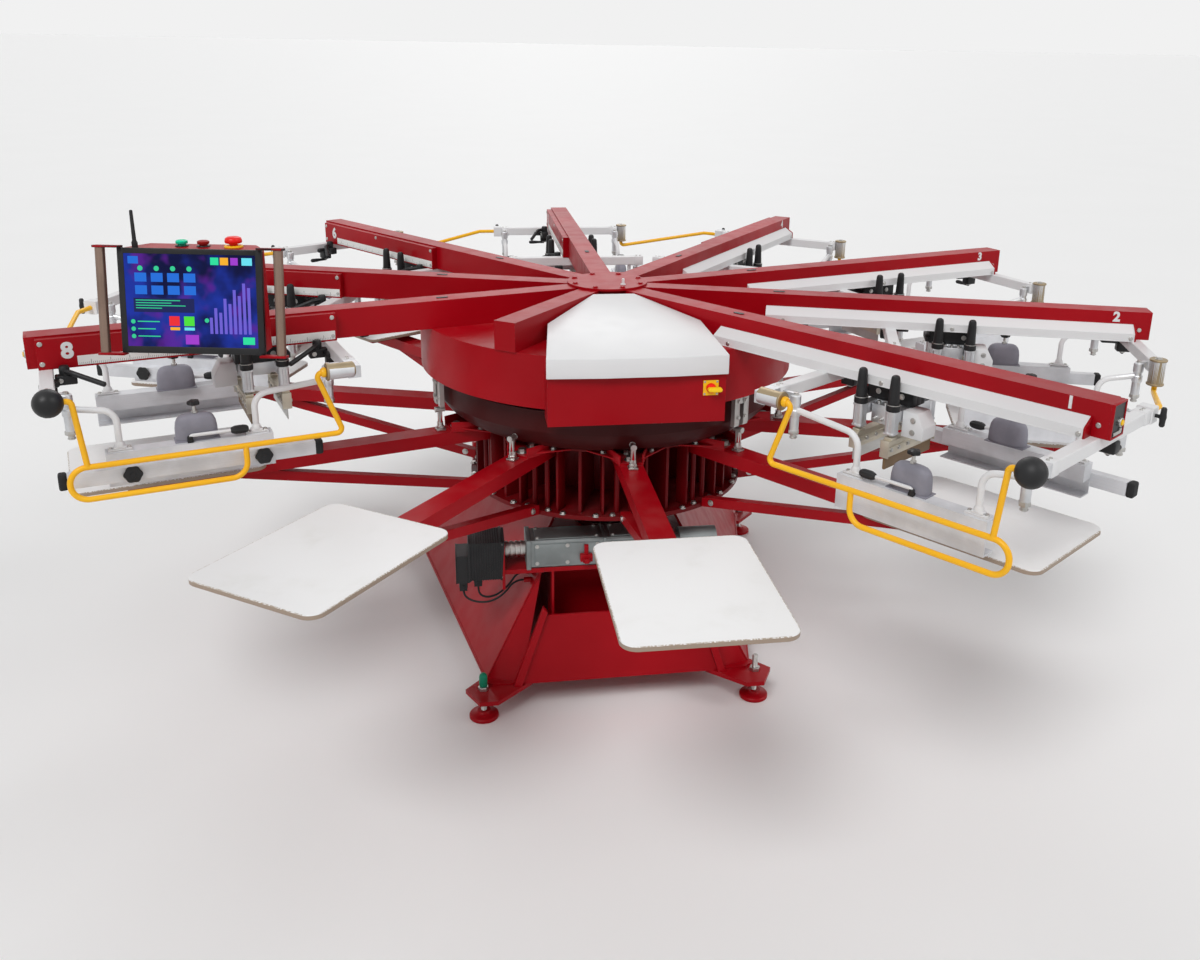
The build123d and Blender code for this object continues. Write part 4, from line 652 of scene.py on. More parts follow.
def plain_mesh(holder):
    """The plain mesh that an object shows. The object goes."""
    bpy.context.view_layer.update()
    mesh = bpy.data.meshes.new_from_object(holder.evaluated_get(bpy.context.evaluated_depsgraph_get()))
    bpy.data.objects.remove(holder)
    return mesh


def grown(mesh, tree, **values):
    """The plain mesh that a tree makes of a mesh."""
    holder = new_object("growing", mesh)
    modifier = holder.modifiers.new("tree", "NODES")
    modifier.node_group = tree
    for item in tree.interface.items_tree:
        name = item.name.replace(" ", "_").lower()
        if item.item_type == "SOCKET" and item.in_out == "INPUT" and name in values:
            modifier[item.identifier] = values[name]
    return plain_mesh(holder)


def copied(mesh, finish, copies):
    """A station's mesh, copied around the axis."""
    count, first = copies
    values = {"first_angle": radians(first), "step_angle": radians(PITCH), "finish": finish.material}
    return grown(mesh, AROUND, count=count, **values)


# The record's slot for each finish that a new piece may start with
SLOT_FINISHES = {
    "red_paint": "red_enamel shaded_enamel",
    "dark_paint": "deep_enamel bronze_anodised",
    "white_paint": "white_enamel scale_white",
    "yellow_paint": "yellow_enamel",
    "light_aluminium": "extruded_aluminium rail_aluminium tan_anodised",
    "bare_steel": "bare_steel",
    "gold_metal": "golden_cylinder",
    "grey_casting": "gearbox_casting grey_molding",
    "black_rubber": "black_rubber blade_rubber",
    "green_plastic": "green_cap start_green",
    "red_plastic": "stop_red mushroom_red",
    "yellow_plastic": "plate_yellow",
}
SLOT_OF = {finish: slot for slot, finishes in SLOT_FINISHES.items() for finish in finishes.split()}


def finished(made, body):
    """Rides a new object on its body and looks up the slot of its first finish, which is not kept."""
    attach(made, body)
    first = next(material for material in made.data.materials if material)
    SLOT_OF.get(first.name, "black_plastic")


def piece(name, mesh, body, smooth=32):
    """Puts a finished mesh in the scene, on its body."""
    mesh.name = name
    mesh.polygons.foreach_set("use_smooth", [True] * len(mesh.polygons))
    mesh.set_sharp_from_angle(angle=radians(smooth))
    made = new_object(name, mesh)
    finished(made, body)
    return made


def mesh_of(form):
    """The form as a mesh. The form goes."""
    mesh = bpy.data.meshes.new("form")
    form.to_mesh(mesh)
    form.free()
    return mesh


def one_mesh(forms):
    """One mesh in metres from several forms."""
    joined = bmesh.new()
    for form in forms:
        part = mesh_of(form)
        joined.from_mesh(part)
        bpy.data.meshes.remove(part)
    bmesh.ops.scale(joined, vec=(MM, MM, MM), verts=joined.verts)
    return mesh_of(joined)


# How often a station's piece is copied around the axis, and the first copy's angle in degrees
ALL_HEADS = (8, -54)
FREE_HEADS = (7, -54)
BETWEEN_HEADS = (7, -18)
ALL_ARMS = (10, -90)


def head(number):
    """One copy, at that head."""
    return 1, -90 + PITCH * number


def around(name, forms, finish, body="frame", copies=ALL_HEADS, smooth=32):
    """A station's forms, copied around the axis as one piece."""
    return piece(name, copied(one_mesh(forms), finish, copies), body, smooth)


def single(name, forms, finish, body="frame", smooth=32):
    """Forms at their own place in the machine as one piece."""
    mesh = one_mesh(forms)
    mesh.materials.append(finish.material)
    return piece(name, mesh, body, smooth)


def bolts(name, places, radius, height, washer=0.0, thickness=1.6, sides=6, finish=bare_steel, body="frame",
          copies=(1, 0)):
    """Bolts with their washers at (point, facing) places of one station, copied around the axis."""
    mesh = bpy.data.meshes.new("places")
    mesh.from_pydata([Vector(point) * MM for point, way in places], [], [])
    facing = mesh.attributes.new("facing", "FLOAT_VECTOR", "POINT")
    for index, (point, way) in enumerate(places):
        facing.data[index].vector = Vector(way).normalized()
    heads = grown(
        mesh, BOLTS, sides=sides, head_radius=radius * MM, head_height=height * MM, finish=finish.material,
        washer_radius=max(washer, 0.9 * radius) * MM, washer_height=2 * thickness * MM,
    )
    return piece(name, copied(heads, finish, copies), body, 30)


# Ways to face, in a station's directions
OUT, UP, LEFT, RIGHT = (1, 0, 0), (0, 0, 1), (0, 1, 0), (0, -1, 0)
FACING_RIGHT = Matrix.Rotation(radians(90), 4, "X")
# The machine's front faces the same way as the right side of a beam that points along its x axis
FRONT, FACING_FRONT = RIGHT, FACING_RIGHT

# Places along and beside a head's beam that several pieces share, in millimetres
SIDES = (-1, 1)
CROSS_ARMS = (980, 1768)
FITTINGS = (1040, 1725)
TUBE_FEET = (1252, 1612)
FITTING_SIDE = 275
COVER_SIDE = 261
LEVER_SIDE = 291
COVER_RADIUS = 1412


def handles():
    """Knobs and levers of the eight heads."""
    grips, rods, clips, stars, stems, rounds, caps, levers, pivots = ([] for name in range(9))
    grip = [(0, -25), (6, -24.4), (9.6, -20), (11.6, -12), (12, 0), (11.6, 12), (9.2, 20), (6, 24), (0, 25)]
    star = [(9, 0), (15, 3), (16, 8), (15, 12.5), (10, 15)]
    for side in SIDES:
        y = side * LEVER_SIDE
        grips.append(turned(grip, 1300, y, 1145, 40, ALONG_X, 10, 0.05))
        rods.append(rod(bent([(1322, y, 1145), (1433, y, 1145), (1433, y, 1125.4)], 13), 5))
        clips.append(block((1425, y - 7, 1125.4), (1441, y + 7, 1134), 1.5))
        clips.append(turned([(7.5, 0), (7.5, 9), (6, 11)], 1433, y, 1133, 20))
        y = side * COVER_SIDE
        stars.append(turned(star, COVER_RADIUS, y, 1223.3, 40, None, 5, 0.15))
        stems.append(turned([(5, 0), (5, 22)], COVER_RADIUS, y, 1201.3, 20))
        stems.append(turned([(9, 0), (9, 6), (7.5, 7)], COVER_RADIUS, y, 1201.3, 6))
    knob = [(9, 0.3), (9.5, 4), (21, 4), (23.6, 5.4), (24, 8), (22, 11.4), (17, 12.6), (8, 12.6), (7.4, 14)]
    for radius in (1246, 1590):
        rounds.append(turned(knob, radius, 332, 1072, 48, ALONG_Y, 6, 0.055))
    for near, far in ((1078, 1099.7), (1750.3, 1772)):
        caps.append(block((near, 298, 1050), (far, 334, 1094), 6, 3))
    handle = [(6, 0), (6, 30), (7.5, 44), (8.4, 62), (7.6, 71), (4, 75)]
    for radius in CROSS_ARMS:
        levers.append(block((radius - 23, 60.8, 1244), (radius + 23, 94.8, 1277.6), 5, 3))
        levers.append(turned(handle, radius, 77, 1240, 20, ALONG_Y))
        pivots.append(turned([(9, 0), (10, 2), (10, 5)], radius, 77.8, 1239.2, 6))
    around("oval_grips", grips, black_molding)
    around("lever_rods", rods, white_enamel)
    around("lever_clips", clips, black_molding)
    around("star_knobs", stars, black_molding)
    around("star_stems", stems, bare_steel)
    around("slide_knobs", rounds, black_molding)
    around("slide_caps", caps, black_rubber)
    around("clamp_levers", levers, black_molding)
    around("clamp_pivots", pivots, bare_steel)
    bar = [(0, -28), (5, -27), (7.6, -23), (8, -10), (9.6, 0), (8, 10), (7.6, 23), (5, 27), (0, 28)]
    neck = [(5, 0), (5, 8), (9, 20)]
    tee = [turned(bar, 1811, 308, 1296, 24), turned(neck, 1791.3, 308, 1296, 20, ALONG_X)]
    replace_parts(around("tee_knobs", tee, black_molding, copies=FREE_HEADS), "clamp_handles")


def dome(x, y):
    """A cylinder's moulded cover: straight below, rounded over the top."""
    form = bmesh.new()
    rings = []
    half_length, half_width, foot, rise, squareness = 57, 24, 1125.2, 75.6, 3.4
    for height, wide, deep in (
        (0, 0.97, 0.97), (0.14, 1, 1), (0.48, 0.985, 0.98), (0.7, 0.94, 0.93), (0.84, 0.86, 0.84),
        (0.93, 0.74, 0.68), (0.98, 0.58, 0.47), (1, 0.36, 0.24),
    ):
        ring = []
        for angle in angles(36):
            c, s = cos(angle), sin(angle)
            size = (abs(c) ** squareness + abs(s) ** squareness) ** (-1 / squareness)
            ahead, beside = half_length * wide * size * c, half_width * deep * size * s
            ring.append(form.verts.new((x + ahead, y + beside, foot + rise * height)))
        rings.append(ring)
    return closed_over(form, rings)


def cylinder_covers():
    """The grey covers of the screen clamps' cylinders, and the plates that they stand on."""
    covers = around(
        "cylinder_covers", [dome(COVER_RADIUS, side * COVER_SIDE) for side in SIDES], grey_molding, smooth=50
    )
    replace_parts(covers, "clamp_domes")
    plinths = []
    for side in SIDES:
        y = side * COVER_SIDE
        plinths.append(block((COVER_RADIUS - 60, y - 26, 1125), (COVER_RADIUS + 60, y + 26, 1128), 1))
    around("cover_plinths", plinths, grey_molding)


def hanger_details():
    """Collars, nuts, feet and screws on the fittings and the bent tubes."""
    collars, nuts, bosses, screws, feet = ([] for name in range(5))
    upper_collar = [(11, 33), (15, 30), (15.4, 28), (15.4, 3), (13.4, 0)]
    lower_collar = [(13.4, 22), (16, 19), (16, 4), (14, 0)]
    nut = [(14.6, 12), (15.6, 10.6), (15.6, 1.4), (14.6, 0)]
    foot = [(8.6, 14), (8.6, 6), (10.5, 5), (10.5, 2), (8, 0)]
    for side in SIDES:
        y = side * FITTING_SIDE
        for radius in FITTINGS:
            collars.append(turned(upper_collar, radius, y, 1268))
            collars.append(turned(lower_collar, radius, y, 1238))
            nuts.append(turned(nut, radius, y, 1186, 6))
            nuts.append(turned(foot, radius, y, 1173))
            screws.append(((radius, y, 1301), UP))
        for radius in TUBE_FEET:
            bosses.append(block((radius - 31, y - 15, 1125.1), (radius + 31, y + 15, 1131.4), 2))
            bosses.append(block((radius - 17, y - 12, 1131), (radius + 17, y + 12, 1137), 2.4))
            bosses.append(turned([(9.6, 14), (12.6, 9), (13, 0)], radius, y, 1136))
            feet += [((radius + dx, y, 1131.4), UP) for dx in (-24, 24)]
    around("fitting_collars", collars, extruded)
    around("fitting_nuts", nuts, bare_steel)
    around("tube_feet", bosses, white_enamel)
    bolts("fitting_bolts", screws, 7.5, 6, 9.5, copies=ALL_HEADS)
    bolts("foot_screws", feet, 4.6, 4, 6, 0.8, 16, copies=ALL_HEADS)


def cross_arm_details():
    """Sleeves at the cross-arms' ends, with their set screws."""
    sleeves, screws = [], []
    for radius in CROSS_ARMS:
        for side in SIDES:
            near, far = sorted((side * 252, side * 291))
            sleeves.append(block((radius - 19.6, near, 1276.4), (radius + 19.6, far, 1315.6), 2.5))
            screws += [((radius, side * beside, 1315.6), UP) for beside in (264, 280)]
    around("arm_sleeves", sleeves, white_enamel)
    bolts("sleeve_screws", screws, 4, 2.4, 5, 0.5, 16, copies=ALL_HEADS)


def ratchet_levers():
    """Clamps with a ratchet lever beside both cross-arms, on the scale's side of the beam."""
    forms, screws = [], []
    for radius, way in ((1722, -1), (1026, 1)):
        forms.append(block((radius - 30, 62, 1272), (radius + 26, 92, 1300), 4, 3))
        forms.append(turned([(13, 0), (14, 2), (14, 24), (11, 30)], radius, 78, 1296, 20))
        arm = bent([(radius, 80, 1312), (radius + way * 22, 112, 1309), (radius + way * 98, 150, 1278)], 18)
        forms.append(rod(arm, 7.5, 14, ends=3))
        grip = [(8, 0), (9.5, 4), (9.5, 30), (6, 35), (0, 36)]
        forms.append(turned(grip, radius - way * 24, 92, 1286, 20, ALONG_Y))
        screws.append(((radius + 12, 92, 1286), LEFT))
    around("ratchet_levers", forms, black_molding)
    bolts("ratchet_screws", screws, 5, 4, 7, 0.8, copies=ALL_HEADS)


def beam_details():
    """End frames, sockets, cover ends, scale strips, plugs and screws of the eight beams."""
    low, high = 1313.9, 1406.1
    frames = []
    for y0, z0, y1, z1 in (
        (-37.6, low, -33.4, high), (33.4, low, 37.6, high), (-34, 1401.8, 34, high), (-34, low, 34, 1318.2)
    ):
        frames.append(block((BEAM_END, y0, z0), (BEAM_END + 9, y1, z1), 0.8))
    end = [(-37.6, 1313.4), (-74, 1313.4), (-75, 1316), (-75, 1340), (-73, 1343.6), (-37.6, 1367)]
    frames.append(placed(prism(end, 1757.6, 1762.4, 0.8), ALONG_X))
    around("beam_end_frames", frames, red_enamel)
    socket = [(12, 0), (12, 5), (10.6, 7), (9, 7), (9, 3)]
    around("end_sockets", [turned(socket, 1809.6, 10, 1352, turn=ALONG_X)], bare_steel)
    plug = [(7.4, 0), (7.4, 7.4), (6, 8.6)]
    around("end_plugs", [turned(plug, 1811.4, 10, 1352, 20, ALONG_X)], plate_yellow)
    latch = [
        block((1809.8, -22, 1321), (1812.8, 24, 1330), 1),
        block((1809.8, 10, 1328), (1814, 22, 1336), 1),
    ]
    around("end_latches", latch, bare_steel)
    around("scale_strips", [block((965, 60.3, 1319), (1685, 61.6, 1346), 0.4, 1)], scale_white)
    oval = []
    for step in range(20):
        angle = tau * (step + 0.5) / 20
        oval.append((600 + copysign(12, cos(angle)) + 8 * cos(angle), 8 * sin(angle)))
    around("beam_plugs", [prism(oval, 1405.8, 1408, 0.6)], black_molding)
    lips = [
        block((560, -39.4, 1361), (1757, -37.4, 1364.6), 0.5, 1),
        block((560, -73.6, 1313.6), (1757, -71.6, 1316.4), 0.5, 1),
    ]
    around("cover_lips", lips, white_enamel)
    screws = [((1778, -37.6, 1346), RIGHT)]
    screws += [((radius, -72.6, 1324), RIGHT) for radius in (1746, 620, 1180)]
    screws += [((radius, 60.6, height), LEFT) for radius in (1774, 972) for height in (1388, 1330)]
    screws += [((1370, 60.6, 1388), LEFT)]
    bolts("cover_screws", screws, 5.6, 2.6, 7, 0.5, 18, copies=ALL_HEADS)


def station_numbers():
    """The numbers 1 to 8 on both sides of their beams, as one painted piece."""
    joined = bmesh.new()
    for number in HEADS:
        for side, *middle, size in ((-1, 1702, -37.9, 1386, 0.044), (1, 1708, 60.9, 1362, 0.062)):
            letter = bpy.data.curves.new("number", "FONT")
            letter.body = str(number)
            letter.size = size
            letter.extrude = 0.0004
            letter.offset = 0.045 * size
            letter.resolution_u = 4
            letter.align_x = "CENTER"
            letter.align_y = "CENTER"
            flat = plain_mesh(new_object("number", letter))
            stand = Matrix(((-side, 0, 0, 0), (0, 0, side, 0), (0, 1, 0, 0), (0, 0, 0, 1)))
            stand.translation = Vector(middle) * MM
            flat.transform(Matrix.Rotation(radians(-90 + PITCH * number), 4, "Z") @ stand)
            joined.from_mesh(flat)
            bpy.data.meshes.remove(flat)
    bmesh.ops.remove_doubles(joined, verts=joined.verts, dist=0.00001)
    mesh = mesh_of(joined)
    mesh.materials.append(white_enamel.material)
    piece("station_numbers", mesh, "frame", 30)


def guard_details():
    """Flanges and caps on the golden switch cylinders."""
    flange = [(25, 0), (26, 1.2), (26, 5), (24.6, 6.4)]
    cap = [(15, 0), (19.6, 2.4), (21, 6)]
    boss = [(13, 0), (14.5, 2), (14.5, 8), (11, 14)]
    for number, side in ((1, -1), (8, 1)):
        y = side * 360
        ends = [turned(flange, 1055.4, y, 1305, 32, ALONG_X), turned(cap, 979.4, y, 1305, 32, ALONG_X)]
        around(f"guard_flange_{number}", ends, golden, copies=head(number))
        guard_end = [turned(boss, 1062.2, y, 1305, turn=ALONG_X)]
        around(f"guard_boss_{number}", guard_end, yellow_enamel, f"side_guard_{number}", head(number))
    flanges = [turned(flange, 1768, -313.3, height, 32) for height in (1318, 1242.4)]
    around("perimeter_flanges", flanges, golden, copies=BETWEEN_HEADS)
    bolts("perimeter_bolts", [((1768, -313.3, 1324), UP)], 8, 5, 11, copies=BETWEEN_HEADS)


# Radii of a carriage's flood bar and squeegee at rest, and how far its guide rods are from its middle
FLOOD_BAR = 1135
SQUEEGEE = 1240
ROD_SIDE = 96


def air_cylinders(metal_forms, black, steel):
    """A carriage's four air cylinders, with their ribbed handles and the bridges between them."""
    half = [(-15, -11), (-11, -15), (-5, -15), (-4, -12.6), (4, -12.6), (5, -15), (11, -15), (15, -11)]
    tube = half + [(a, -b) for a, b in reversed(half)]
    ribbed_handle = [
        (0, 103), (6, 102.6), (10, 100), (12.2, 95), (13.4, 80), (14.6, 50), (15.6, 30), (16, 22),
        (15.6, 20.4), (17.6, 19.4), (19.4, 17), (19.6, 3), (18.6, 0.6),
    ]
    for x in (FLOOD_BAR, SQUEEGEE):
        for side in SIDES:
            y = side * ROD_SIDE
            metal_forms.append(placed(prism(tube, 1199, 1258, 0.4, 1), at(x, y, 0)))
            for low, high in ((1194.6, 1201), (1256, 1262.4)):
                metal_forms.append(block((x - 15.4, y - 15.4, low), (x + 15.4, y + 15.4, high), 1.2))
            black.append(turned(ribbed_handle, x, y, 1262, 36, None, 12, 0.012))
            steel.append(turned([(19.9, 0), (19.9, 1.6)], x, y, 1280.4))
            steel.append(turned([(8, 0), (9, 1.5), (9, 5.5)], x, y, 1189.6))
        metal_forms.append(block((x - 13, -82, 1228), (x + 13, 82, 1261), 1.6))


def holder_and_blade(kind, number, x, half_length, blade, blade_finish):
    """A squeegee or a flood bar: its holder with the guide rods, its blade and its screws."""
    body, one = f"{kind}_{number}", head(number)
    holder = [
        (-13, 1180), (13, 1180), (13, 1172), (10.4, 1171), (10.4, 1163), (13, 1162), (13, 1147),
        (9.6, 1142), (8.6, 1132), (-8.6, 1132), (-9.6, 1142), (-13, 1147), (-13, 1162), (-10.4, 1163),
        (-10.4, 1171), (-13, 1172),
    ]
    forms = [placed(prism([(x + a, b) for a, b in holder], -half_length, half_length, 0.5, 1), ALONG_Y)]
    for side in SIDES:
        y = side * half_length
        forms.append(block((x - 14, y - 2, 1131), (x + 14, y + 2, 1181), 1))
    for side in SIDES:
        y = side * ROD_SIDE
        forms.append(block((x - 12, y - 14, 1178), (x + 12, y + 14, 1188), 2))
        forms.append(turned([(5.95, 0), (5.95, 78)], x, y, 1180, 20))
    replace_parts(around(f"{kind}_holder_{number}", forms, tan_metal, body, one), body)
    tip, top, low = blade / 2, 1140, 1098.5
    edge = [(-tip, top), (tip, top), (tip, low), (tip - 1.2, 1096.2), (1.2 - tip, 1096.2), (-tip, low)]
    strip = placed(prism([(x + a, b) for a, b in edge], 3 - half_length, half_length - 3), ALONG_Y)
    around(f"{kind}_blade_{number}", [strip], blade_finish, body, one)
    screws = [((x + way * 13, y, 1154), (way, 0, 0)) for way in SIDES for y in (-108, -70, -24, 24, 70, 108)]
    bolts(f"{kind}_screws_{number}", screws, 5, 4, 6.6, 0.8, 12, body=body, copies=one)


def carriages():
    """Carriage, squeegee holder and flood bar of every head."""
    for number in HEADS:
        body, one = f"carriage_{number}", head(number)
        metal_forms, black, steel = [], [], []
        air_cylinders(metal_forms, black, steel)
        metal_forms.append(block((1147, -32, 1226), (1228, 32, 1261.6), 2))
        metal_forms.append(block((1152, -64, 1203), (1223, -34, 1258), 2))
        for near, far, top, bevel in ((-32, -10.6, 1309.8, 2.2), (10.6, 32, 1309.8, 2.2), (-12, 12, 1295, 1)):
            black.append(block((1112.8, near, 1262.2), (1262.8, far, top), bevel))
        black.append(block((1100, -40, 1268), (1113.4, 40, 1286), 2))
        for x in (1165, 1187, 1209):
            steel.append(turned([(6, 0), (6, 3), (4, 4), (4, 9)], x, -64, 1216, 18, FACING_RIGHT))
            steel.append(turned([(5, 0), (5, 6)], x, -49, 1258, 18))
        around(f"carriage_blocks_{number}", metal_forms, extruded, body, one)
        around(f"carriage_steel_{number}", steel, bare_steel, body, one)
        cover = [(1256, 1187), (1323, 1187), (1323, 1222), (1301, 1262), (1256, 1262)]
        cover_form = placed(prism(cover, -70, -2, 2.4), ALONG_Y)
        around(f"cylinder_cover_{number}", [cover_form], white_enamel, body, one)
        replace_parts(around(f"carriage_black_{number}", black, black_molding, body, one), body)
        screws = [((x, y, 1286), way) for y, way in ((-32, RIGHT), (32, LEFT)) for x in (1150, 1226)]
        screws += [((1290, -70, height), RIGHT) for height in (1205, 1240)]
        bolts(f"carriage_bolts_{number}", screws, 6.4, 4, 8.4, 1.0, body=body, copies=one)
        holder_and_blade("squeegee", number, SQUEEGEE, 122, 8, blade_rubber)
        holder_and_blade("flood_bar", number, FLOOD_BAR, 118, 3, bare_steel)


def carousel_details():
    """V flanges and bolts of the arms, and the bolts of the lower ring."""
    flanges = []
    for side in SIDES:
        edge = [(477, side * 75), (595, side * 38), (593.6, side * 33.6), (477, side * 70.4)]
        flanges.append(prism(edge, 957.8, 984, 0.8))
        wing = [(477, side * 75), (560, side * 49), (477, side * 128)]
        flanges.append(prism(wing, 958, 963, 0.8))
    around("arm_gussets", flanges, red_enamel, "carousel", ALL_ARMS)
    on_arms = {"body": "carousel", "copies": ALL_ARMS}
    bolts("arm_bolts", [((radius, 0, 958), UP) for radius in (506, 566)], 14, 13, 20, 2.0, **on_arms)
    small = [((474, y, 730), UP) for y in (-96, -40, 40, 96)] + [((505, y, 963), UP) for y in (-78, 78)]
    bolts("ring_bolts", small, 8.5, 7, 12, 1.2, **on_arms)
    bolts("brace_bolts", [((530, way * 16.1, 741), (0, way, 0)) for way in SIDES], 8, 6, 11, 1.2, **on_arms)
    spool = [(9.6, 0), (9.6, 2), (5, 3), (5, 29), (9.6, 30), (9.6, 32)]
    cheeks = [
        block((606, -15, 950), (638, 15, 957), 1.5),
        turned(spool, 606, 0, 1024, 22, ALONG_X),
        turned([(12.4, 0), (13.4, 1), (13.4, 9), (12.4, 10)], 622, 0, 957, 6),
        turned([(10.4, 0), (10.4, 14)], 622, 0, 966, 20),
    ]
    around("roller_cheeks", cheeks, bare_steel, "carousel", ALL_ARMS)
    plates = [block((424, y - 4, 730), (470, y + 4, 950), 0.8) for y in (-72, 72)]
    plates += [rod([(452, y, 730), (452, y, 950)], 9, 12) for y in (-24, 24)]
    # The cage's plates get the red enamel darkened as painted shade
    around("cage_plates", plates, shaded_enamel, "carousel", ALL_ARMS)


def fork_details():
    """Liners and bolts of the registration forks."""
    liners = []
    for side in SIDES:
        near, far = sorted((side * 9.8, side * 34))
        liners.append(block((628.8, near, 1046), (631.4, far, 1138), 0.8))
    around("fork_liners", liners, bare_steel)
    places = [((631.4, side * 17, z), OUT) for side in SIDES for z in (1070, 1124)]
    bolts("fork_bolts", places, 6.4, 5, 8.6, 0.8, copies=ALL_HEADS)


def hub_details():
    """Bolts and the small pin on the hub's cap."""
    places = [((122 * cos(radians(a)), 122 * sin(radians(a)), 1414), UP) for a in range(0, 360, 45)]
    bolts("hub_bolts", places, 9, 5, 12, 1, finish=red_enamel, copies=(1, 18))
    pin = [(9, 0), (9, 3), (5, 4), (5, 20), (3.5, 22)]
    single("hub_pin", [turned(pin, 46, -70, 1414)], white_enamel)


def feet():
    """Threads, hexagon nuts and pads of the four levelling feet."""
    studs, nuts, pads = [], [], []
    thread = [point for z in range(27, 164, 3) for point in ((9.1, z), (10.1, z + 1.5))] + [(8.4, 165)]
    nut = [(17.5, 0), (19, 1.4), (19, 12.6), (17.5, 14)]
    pad = [(48, 0), (50, 2), (50, 11), (47, 14.5), (30, 19), (24, 24), (22, 28)]
    for x, y in ((476, -468), (-476, -468), (766, 903), (-766, 903)):
        studs.append(turned(thread, x, y, 0, 20))
        nuts += [turned(nut, x, y, height, 6) for height in (104, 74)]
        pads.append(turned(pad, x, y, 0, 44))
    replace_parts(single("foot_threads", studs, bare_steel, smooth=20), "levelling_feet")
    single("foot_nuts", nuts, bare_steel)
    single("foot_pads", pads, red_enamel)
    cap = [(13, 0), (14, 1.5), (14, 34), (12, 42), (7, 47), (0, 48.4)]
    single("foot_cap", [turned(cap, -476, -468, 120)], green_cap, smooth=50)


def drive_details():
    """Fins, flanges, glands and bolts on the motor and the gearbox."""
    middle = -345
    fins = [block((x, -409, 484), (x + 3, -281, 622.4), 0.8, 1) for x in range(-506, -406, 8)]
    fins.append(block((-556, -397, 470), (-552, -293, 574), 2))
    for near, far in ((-514, -506), (-407, -401.6)):
        fins.append(block((near, -411, 482), (far, -279, 624), 2))
    gland = [(9, 0), (14.5, 8), (14.5, 20), (13, 22)]
    for x, height in ((-482, 438), (-532, 424)):
        fins.append(turned(gland, x, middle, height, 24))
    single("motor_fins", fins, black_molding)
    rib = [(27, 0), (28, 1), (28, 8), (27, 9)]
    ribs = [turned(rib, x, middle, 566, 32, ALONG_X) for x in (-389, -372, -355, -338)]
    ribs.append(turned([(20, 0), (20, 70)], -391, middle, 566, 28, ALONG_X))
    single("coupling_rings", ribs, bare_steel)
    plates = []
    for low, high, bevel in (
        ((-320, -407, 512), (-304, -283, 620), 3), ((-60, -406, 514), (-48, -284, 618), 3),
        ((104, -407, 512), (121, -283, 620), 3), ((-292, -406, 528), (-72, -402, 604), 2),
        ((-36, -406, 528), (92, -402, 604), 2), ((-290, -391, 615), (-74, -299, 619), 2),
        ((-34, -391, 615), (92, -299, 619), 2),
    ):
        plates.append(block(low, high, bevel))
    single("gearbox_plates", plates, gearbox_metal)
    places = [((x, -406, z), FRONT) for x in (-284, -182, -80, -28, 84) for z in (535, 597)]
    places += [((x, y, 619), UP) for x in (-282, -82, -26, 84) for y in (-384, -306)]
    bolts("gearbox_bolts", places, 5, 4.4, 7, 0.7)
    corners = [((-401.6, middle + dy, 552 + dz), (1, 0, 0)) for dy in (-54, 54) for dz in (-60, 60)]
    bolts("motor_bolts", corners, 6, 5, 8.5, 1)
    latch = [
        block((-140, -424, 540), (-98, -404, 566), 3),
        turned([(11, 0), (12, 2), (12, 16)], -119, -428, 540, 12, None, 6, 0.12),
        block((-126, -420, 566), (-112, -408, 600), 2),
    ]
    single("gearbox_latch", latch, red_enamel)


def welds():
    """Beads where the base's plates meet, and along the apron."""
    beads = []
    for side in SIDES:
        beads.append(rod([(side * 462, -414, 113), (side * 734, 860, 113)], 3.6, 8))
        beads.append(rod([(side * 345, -446, 113), (side * 255, -446, 362)], 3.4, 8))
        beads.append(rod([(side * 458, -411, 120), (side * 262, -352, 498)], 3.4, 8))
    beads.append(rod([(-343, -444, 113), (343, -444, 113)], 3.4, 8))
    single("weld_beads", beads, red_enamel)


def tile(left, low, right, high, back=0.3, front=0.8, bevel=0.1):
    """A flat patch on the touch screen."""
    return placed(block((left, low, back), (right, high, front), bevel, 1), PANEL)


def touch_screen():
    """The screen's glass and what it shows: a plain control page."""
    single("touch_screen", [tile(-177, -124, 177, 128, -2, 0.5)], screen_glow, "panel")
    keys = [(-150 + 44 * column, 18 + 34 * row) for column in range(4) for row in range(2)]
    for color, places in {
        "blue": [(-166, 100, -138, 120)] + [(x, y, x + 32, y + 24) for x, y in keys],
        "green": [(136, -114, 168, -94), (56, 100, 78, 120)],
        "orange": [(82, 100, 104, 120), (-60, -78, -34, -70)],
        "violet": [(-20, -116, 16, -90), (110, 100, 130, 120)],
        "red": [(-62, -66, -34, -40)],
        "lime": [(-22, -66, 6, -40)],
        "cyan": [(-22, -78, 6, -70), (140, 100, 168, 120)],
        "dark": [(-156, -30, 8, 8)],
    }.items():
        single(f"tile_{color}", [tile(*place, 0.3, 0.9, 0.25) for place in places], TILES[color], "panel")
    dots = []
    places = [(-134 + 44 * column, 88, 7) for column in range(4)]
    places += [(-160, -56, 6), (-160, -76, 6), (-160, -96, 6), (40, -50, 6)]
    for x, y, radius in places:
        dots.append(turned([(radius, 0.3), (radius, 0.8), (radius - 1, 1.1)], x, y, 0, 24, stand=PANEL))
    single("status_lights", dots, TILES["mint"], "panel")
    lines = []
    for row, width in enumerate((120, 96, 134, 70)):
        lines.append(tile(-150, 1 - 7 * row, width - 150, 3.4 - 7 * row, 0.8, 1.1))
    for row in range(3):
        lines.append(tile(-148, -57 - 20 * row, -88 - 12 * (row % 2), -54 - 20 * row))
    single("screen_lines", lines, TILES["mint"], "panel")
    bars = []
    for column, height in enumerate((44, 70, 58, 96, 82, 120, 104, 138, 126)):
        bars.append(tile(48 + 13 * column, -86, 56 + 13 * column, height - 86, bevel=0.2))
    single("screen_bars", bars, TILES["bars"], "panel")


